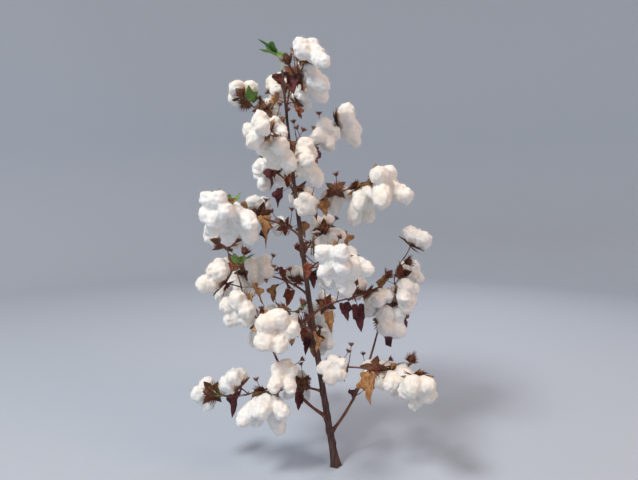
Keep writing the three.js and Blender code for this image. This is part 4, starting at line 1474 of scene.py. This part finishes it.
# %% [markdown]
# ## Shape of a leaf
# A cotton leaf has five lobes like a maple's, with a vein down each. The last green ones are small
# and slightly cupped. The dead ones hang straight down from their stalks, rolled up lengthwise and
# crumpled, in maroon, russet and tan. A flat picture of a leaf on a card would be lighter, but it
# has no thickness and no veins. Here one outline, written as a reach for each bearing, is a grid
# that is rolled, bent and rippled, and the veins are thin tubes that run along the same surface.

# %% Surface of a leaf
LEAF_OUTLINE = (
    [0, 5, 11, 18, 24, 32, 42, 49, 53, 57, 66, 76, 84, 94, 102, 115, 140, 165, 180],
    [1.25, 1.13, 0.9, 0.72, 0.64, 0.67, 0.78, 0.88, 0.93, 0.87, 0.68, 0.52, 0.48, 0.5, 0.49, 0.4,
     0.28, 0.17, 0.1])
LONGEST_LOBE = LEAF_OUTLINE[1][0]
DRY_ROLL, GREEN_ROLL, ROLL_SPREAD = 0.34, 1.6, (0.85, 1.3)
DRY_CRUMPLE, GREEN_CRUMPLE, CRUMPLE_SIZE = 0.085, 0.02, 0.55
DRY_BEND, GREEN_BEND, LEAF_PATTERN_MM = (-0.3, 0.5), 0.16, 99


def leaf_surface(leaf, bearing, share, seed):
    """Points of the blade at a bearing from its middle lobe and a share of the way to its edge."""
    random = np.random.default_rng(seed)
    reach = leaf.reach * share * np.interp(np.abs(bearing), *LEAF_OUTLINE)
    length, width = reach * np.cos(np.radians(bearing)), reach * np.sin(np.radians(bearing))
    roll = leaf.reach * (GREEN_ROLL if leaf.green else DRY_ROLL) * random.uniform(*ROLL_SPREAD)
    start = np.stack([length, width, 0 * length], -1) + random.normal(size=3) * LEAF_PATTERN_MM
    crumple = leaf.reach * (GREEN_CRUMPLE if leaf.green else DRY_CRUMPLE) * share
    crumple = crumple * ripples(start, leaf.reach * CRUMPLE_SIZE, random)
    rise = roll * (1 - np.cos(width / roll)) + crumple
    bend = GREEN_BEND if leaf.green else random.uniform(*DRY_BEND)
    rise = rise - bend * leaf.reach * (length / (LONGEST_LOBE * leaf.reach)) ** 2
    side = np.cross(leaf.face, leaf.along)
    return (leaf.base + length[..., None] * leaf.along
            + (roll * np.sin(width / roll))[..., None] * side + rise[..., None] * leaf.face)


print("a dry leaf reaches", round(DRY_LEAF * LONGEST_LOBE), "mm along its middle lobe")

# %% Blades and veins
LEAF_ROWS, LEAF_COLUMNS, LEAF_SPLIT, LEAF_HOLE, LEAF_THICKNESS = 7, 37, 176, 0.015, 0.6
LEAF_VEINS = (0, 53, -53, 100, -100)
VEIN_POINTS, VEIN_END, VEIN_SIDES, VEIN_RADII = 12, 0.93, 5, (0.55 * 1.3, 0.55 * 0.35)
SHOOT_RADII = np.linspace(2.2, 1.0, 14)
DRY_TINTS, GREEN_TINTS, GREEN_VEIN = 3, 2, 2
dry_heap, green_heap, green_stalk_heap = Heap(), Heap(), Heap()


def blade_mesh(leaf, seed):
    bearing = np.linspace(-LEAF_SPLIT, LEAF_SPLIT, LEAF_COLUMNS)[None]
    share = np.linspace(LEAF_HOLE, 1, LEAF_ROWS)[:, None]
    return plate(leaf_surface(leaf, bearing, share, seed), LEAF_THICKNESS)


def vein_mesh(leaf, bearing, seed):
    share = np.linspace(0, VEIN_END, VEIN_POINTS)
    points = leaf_surface(leaf, np.full(VEIN_POINTS, float(bearing)), share, seed)
    return sweep(points, mix(*VEIN_RADII, share) * leaf.reach / DRY_LEAF, VEIN_SIDES)


leaves = [leaf for limb in limbs for leaf in limb.leaves] + top_shoot.leaves
for i, leaf in enumerate(leaves):
    heap = green_heap if leaf.green else dry_heap
    tint = i % (GREEN_TINTS if leaf.green else DRY_TINTS)
    heap.add(blade_mesh(leaf, SEED + i), slots=tint)
    for bearing in LEAF_VEINS:
        heap.add(vein_mesh(leaf, bearing, SEED + i), slots=GREEN_VEIN if leaf.green else tint)
    if leaf.green:
        green_stalk_heap.add(stalk_mesh(leaf.stalk, LEAF_STALK_RADII, LEAF_STALK_SIDES))
green_heap.add(stalk_mesh(top_shoot.path, SHOOT_RADII, TWIG_SIDES), slots=GREEN_VEIN)
print("leaves:", len(leaves), "of them green:", sum(leaf.green for leaf in leaves))

# %% [markdown]
# ## Finishes of the dead leaves
# Dead leaf is papery and matt, and darker where it is still thick. Its colour goes from maroon to
# tan as it bleaches, so the leaves take three tints in turn. Its veinlets are under half a
# millimetre apart, too fine to show, and are drawn as a grain of 2 mm.

# %% Finishes of the dead leaves
DRY_LEAF_COLOURS = {"maroon_dry_leaf": ("3c1b20", "6a3034"),
                    "russet_dry_leaf": ("642f1e", "8f4d30"),
                    "tan_dry_leaf": ("8a5b36", "b58a5c")}
dry_finishes = [
    plant_tissue(name, dark, light, patch_mm=9, grain_mm=2, depth_mm=0.4, roughness=(0.74, 0.88))
    for name, (dark, light) in DRY_LEAF_COLOURS.items()]
add_piece("dry_leaves", dry_heap, dry_finishes, mass_names)

# %% [markdown]
# ## Finishes of the green leaves
# Live leaf has a waxy skin, so it has a soft shine. The small bumps between its veinlets are too
# fine to show, and are drawn at 3 mm, twice their real size. The veins are paler than the blade.

# %% Finishes of the green leaves
GREEN_LEAF_COLOURS = {"dark_green_leaf": ("3a6423", "5b8a35"),
                      "light_green_leaf": ("557f31", "7ea54c"),
                      "green_leaf_vein": ("8ca75a", "b0c07a")}
green_finishes = [
    plant_tissue(name, dark, light, patch_mm=8, grain_mm=3, depth_mm=0.3, roughness=(0.4, 0.5))
    for name, (dark, light) in GREEN_LEAF_COLOURS.items()]
green_nodes = [*mass_names, "top_shoot"]
add_piece("green_leaves", green_heap, green_finishes, green_nodes)
add_piece("green_stalks", green_stalk_heap, [green_finishes[GREEN_VEIN]],
          green_nodes)

# %% [markdown]
# ## Shape of the lint
# Lint is loose fibre that swelled out of the boll. It has no skin, only rounded tufts that melt
# into each other. Metaballs would melt too, but slowly. Here every lock is a club of overlapping
# balls, and a remesh modifier with small voxels melts them into one skin, as clay is worked
# together. It leaves soft creases where tufts meet. Then each point moves a little in or out.

# %% Clubs and balls
CLUB_SHARES = np.array([0.05, 0.2, 0.34, 0.48, 0.6, 0.72, 0.86, 0.98, 1.07, 1.13])
CLUB_WIDTHS = np.array([0.2, 0.32, 0.4, 0.46, 0.49, 0.5, 0.48, 0.41, 0.3, 0.15])
TUFTS, TUFT_SHARES, TUFT_OFFSET, TUFT_RADIUS = 2, (0.4, 0.9), (0.08, 0.15), (0.38, 0.46)
CLUB_SIDES = 16
BALL_ROWS, BALL_SIDES, BALL_STRETCH, BALL_POLE = 8, 12, (1.0, 1.25), 0.18
HEART_AT, HEART_RADIUS = 6, 14


def ball(centre, radius, random):
    """A rough ball, a little longer one way than the other."""
    direction = unit(random.normal(size=3))
    polar = np.linspace(BALL_POLE, math.pi - BALL_POLE, BALL_ROWS)
    stretch = random.uniform(*BALL_STRETCH)
    points = centre - np.cos(polar)[:, None] * direction * radius * stretch
    return sweep(points, np.sin(polar) * radius, BALL_SIDES)


def lock_shapes(lock, random):
    yield sweep(lock.path.point(CLUB_SHARES), lock.width * CLUB_WIDTHS, CLUB_SIDES)
    for _ in range(TUFTS):
        share = random.uniform(*TUFT_SHARES)
        aside = around(lock.path.tangent(min(share, 1)), random.uniform(0, 360))
        centre = lock.path.point(share) + aside * lock.width * random.uniform(*TUFT_OFFSET)
        yield ball(centre, lock.width * random.uniform(*TUFT_RADIUS), random)


def boll_shapes(boll, random):
    yield ball(boll.centre + boll.axis * HEART_AT * boll.size, HEART_RADIUS * boll.size, random)
    for lock in boll.locks:
        yield from lock_shapes(lock, random)


print("shapes in one boll:", 1 + bolls[0].lock_count * (1 + TUFTS))

# %% Melt the clubs together
LINT_VOXEL_MM = 3.2
ROUNDING, ROUNDING_STEPS = 0.6, 6
SWELLS_MM, WISPS_MM = (18, 1.1), (8, 0.6)
LINT_SEED = SEED_STEP * 50


def melted(heap, name):
    """The heap's closed shapes joined into one skin: its points, normals and four-sided faces."""
    holder = bpy.data.objects.new(name, heap.mesh(name))
    bpy.context.scene.collection.objects.link(holder)
    remesh = holder.modifiers.new("melt", "REMESH")
    remesh.mode = "VOXEL"
    remesh.voxel_size = LINT_VOXEL_MM * MM
    rounding = holder.modifiers.new("round", "SMOOTH")
    rounding.factor = ROUNDING
    rounding.iterations = ROUNDING_STEPS
    skin = holder.evaluated_get(bpy.context.evaluated_depsgraph_get()).to_mesh()
    points = np.empty(len(skin.vertices) * 3)
    skin.vertices.foreach_get("co", points)
    normals = np.empty(len(points))
    skin.vertex_normals.foreach_get("vector", normals)
    quads = np.empty(len(skin.loops), int)
    skin.loops.foreach_get("vertex_index", quads)
    bpy.data.objects.remove(holder)
    return points.reshape(-1, 3) / MM, normals.reshape(-1, 3), quads.reshape(-1, 4)


lint_skins = []
for limb in limbs:
    soft_random = np.random.default_rng(limb.layout.seed + LINT_SEED)
    heap = Heap()
    for boll in limb.bolls:
        for shape in boll_shapes(boll, soft_random):
            heap.add(shape)
    skin, normals, quads = melted(heap, "soft_clubs")
    moved = sum(depth * ripples(skin, size, soft_random) for size, depth in (SWELLS_MM, WISPS_MM))
    lint_skins.append((skin + normals * moved[:, None], normals, quads))
print("lint quads:", sum(len(quads) for _, _, quads in lint_skins))

# %% [markdown]
# ## Finish of the lint
# A cotton fibre is a hair of nearly pure cellulose, with an IOR of about 1.55. It is clear, and the
# boll is white because light goes in, bounces from hair to hair and comes out soft and even. That
# is subsurface scattering with a short reach. Thousands of hair ends at the surface give a sheen
# and no mirror gloss, so the gloss is turned well down. The hairs lie in swirls, which a twisted
# noise draws as relief. They are 0.02 mm thick, far too fine, so the swirls are drawn at 9 mm.

# %% Loose cotton lint
LINT_IOR, SHADE_DEPTH_MM = 1.55, 4
CLOUD_MM, SWIRL_MM, SWIRL_TWIST, SWIRL_DEPTH_MM = 26, 9, 2.2, 1.1


def loose_lint(name, shaded, sunny, scattered=0.35):
    """scattered is the share of the light that goes in and comes out elsewhere."""
    material, place = new_finish(name)
    clouds = add_node(material, "ShaderNodeTexNoise", {
        "Vector": place, "Scale": 1000 / CLOUD_MM, "Detail": 4})
    share = add_node(material, "ShaderNodeMapRange", {
        "Value": clouds, **NOISE_SPAN})
    tone = add_node(material, "ShaderNodeMixRGB", {
        "Fac": share, "Color1": linear(shaded), "Color2": linear(sunny)})
    swirls = add_node(material, "ShaderNodeTexNoise", {
        "Vector": place, "Scale": 1000 / SWIRL_MM, "Detail": 8, "Roughness": 0.7,
        "Distortion": SWIRL_TWIST})
    relief = add_node(material, "ShaderNodeBump", {
        "Height": swirls, "Distance": SWIRL_DEPTH_MM * MM})
    fibre = add_node(material, "ShaderNodeBsdfPrincipled", {
        "Base Color": tone, "Roughness": 0.95, "IOR": LINT_IOR, "Normal": relief,
        "Specular IOR Level": 0.15, "Sheen Weight": 0.3, "Subsurface Weight": scattered,
        "Subsurface Radius": (1.0, 0.75, 0.6), "Subsurface Scale": SHADE_DEPTH_MM * MM})
    add_node(material, "ShaderNodeOutputMaterial", {"Surface": fibre})
    return material


lint_finishes = [loose_lint("white_lint", "f2f0ec", "fafaf8"),
                 loose_lint("creamy_lint", "eee8df", "f8f5f0")]
print("lint finishes:", [finish.name for finish in lint_finishes])

# %% [markdown]
# ## Pieces of lint
# The lint of all limbs is shared out among three pieces of about the same size, because one mesh
# of it all would be too heavy to handle. Limbs are white and creamy by turns, because real bolls
# aren't all the same white.

# %% Lint pieces
LINT_PIECES = 3
lint_heaps = [Heap() for _ in range(LINT_PIECES)]
for k, (skin, normals, quads) in enumerate(lint_skins):
    emptiest = min(lint_heaps, key=lambda heap: heap.count)
    emptiest.add((skin, [quads]), slots=k % len(lint_finishes))
for k, heap in enumerate(lint_heaps):
    add_piece(f"lint_{k + 1}", heap, lint_finishes, mass_names)

# %% [markdown]
# ## Loose fibres
# What makes an edge of cotton look soft is a haze of single fibres that stand off it. A hair system
# could draw them, but it isn't a mesh and would be lost in an export. So each fibre is a thin
# closed spike of four triangles. A real one is 0.02 mm thick, far too fine to show, so each spike
# is about 0.3 mm thick at its foot and stands for a wisp of them. A solid spike would have a dark
# side, which no clear hair has, so light scatters all the way through its finish.

# %% Places of the fibres
FIBRES, FIBRE_SEED = 80000, 5
FIBRE_SHORT, FIBRE_EXTRA, FIBRE_SINK, FIBRE_LEAN = 4, 11, 1.0, 1.0
haze_random = np.random.default_rng(SEED + FIBRE_SEED)
roots = np.concatenate([skin for skin, _, _ in lint_skins])
outward = np.concatenate([normals for _, normals, _ in lint_skins])
picked = haze_random.integers(len(roots), size=FIBRES)
direction = outward[picked] + haze_random.normal(size=(FIBRES, 3)) * FIBRE_LEAN
direction /= np.linalg.norm(direction, axis=1, keepdims=True)
start = roots[picked] - outward[picked] * FIBRE_SINK
length = FIBRE_SHORT + FIBRE_EXTRA * haze_random.uniform(size=(FIBRES, 1)) ** 2
print("mean length of a fibre in mm:", float(length.mean().round(1)))

# %% Fibres as spikes
FIBRE_RADIUS, FIBRE_PIECES = 0.18, 2
SPIKE_FACES = np.array([[0, 1, 3], [1, 2, 3], [2, 0, 3], [0, 2, 1]])
side_a = np.cross(direction, haze_random.normal(size=(FIBRES, 3)))
side_a /= np.linalg.norm(side_a, axis=1, keepdims=True)
side_b = np.cross(direction, side_a)
feet = [start + FIBRE_RADIUS * (side_a * math.cos(turn) + side_b * math.sin(turn))
        for turn in (0, 2 * math.pi / 3, 4 * math.pi / 3)]
spikes = np.stack([*feet, start + direction * length], 1)
fibre_finish = loose_lint("single_cotton_fibres", "f6f4f1", "fcfcfa", scattered=1.0)
for k, group in enumerate(np.array_split(spikes, FIBRE_PIECES)):
    faces = SPIKE_FACES[None] + 4 * np.arange(len(group))[:, None, None]
    heap = Heap()
    heap.add((group.reshape(-1, 3), [faces.reshape(-1, 3)]))
    add_piece(f"lint_fibres_{k + 1}", heap, [fibre_finish], mass_names)
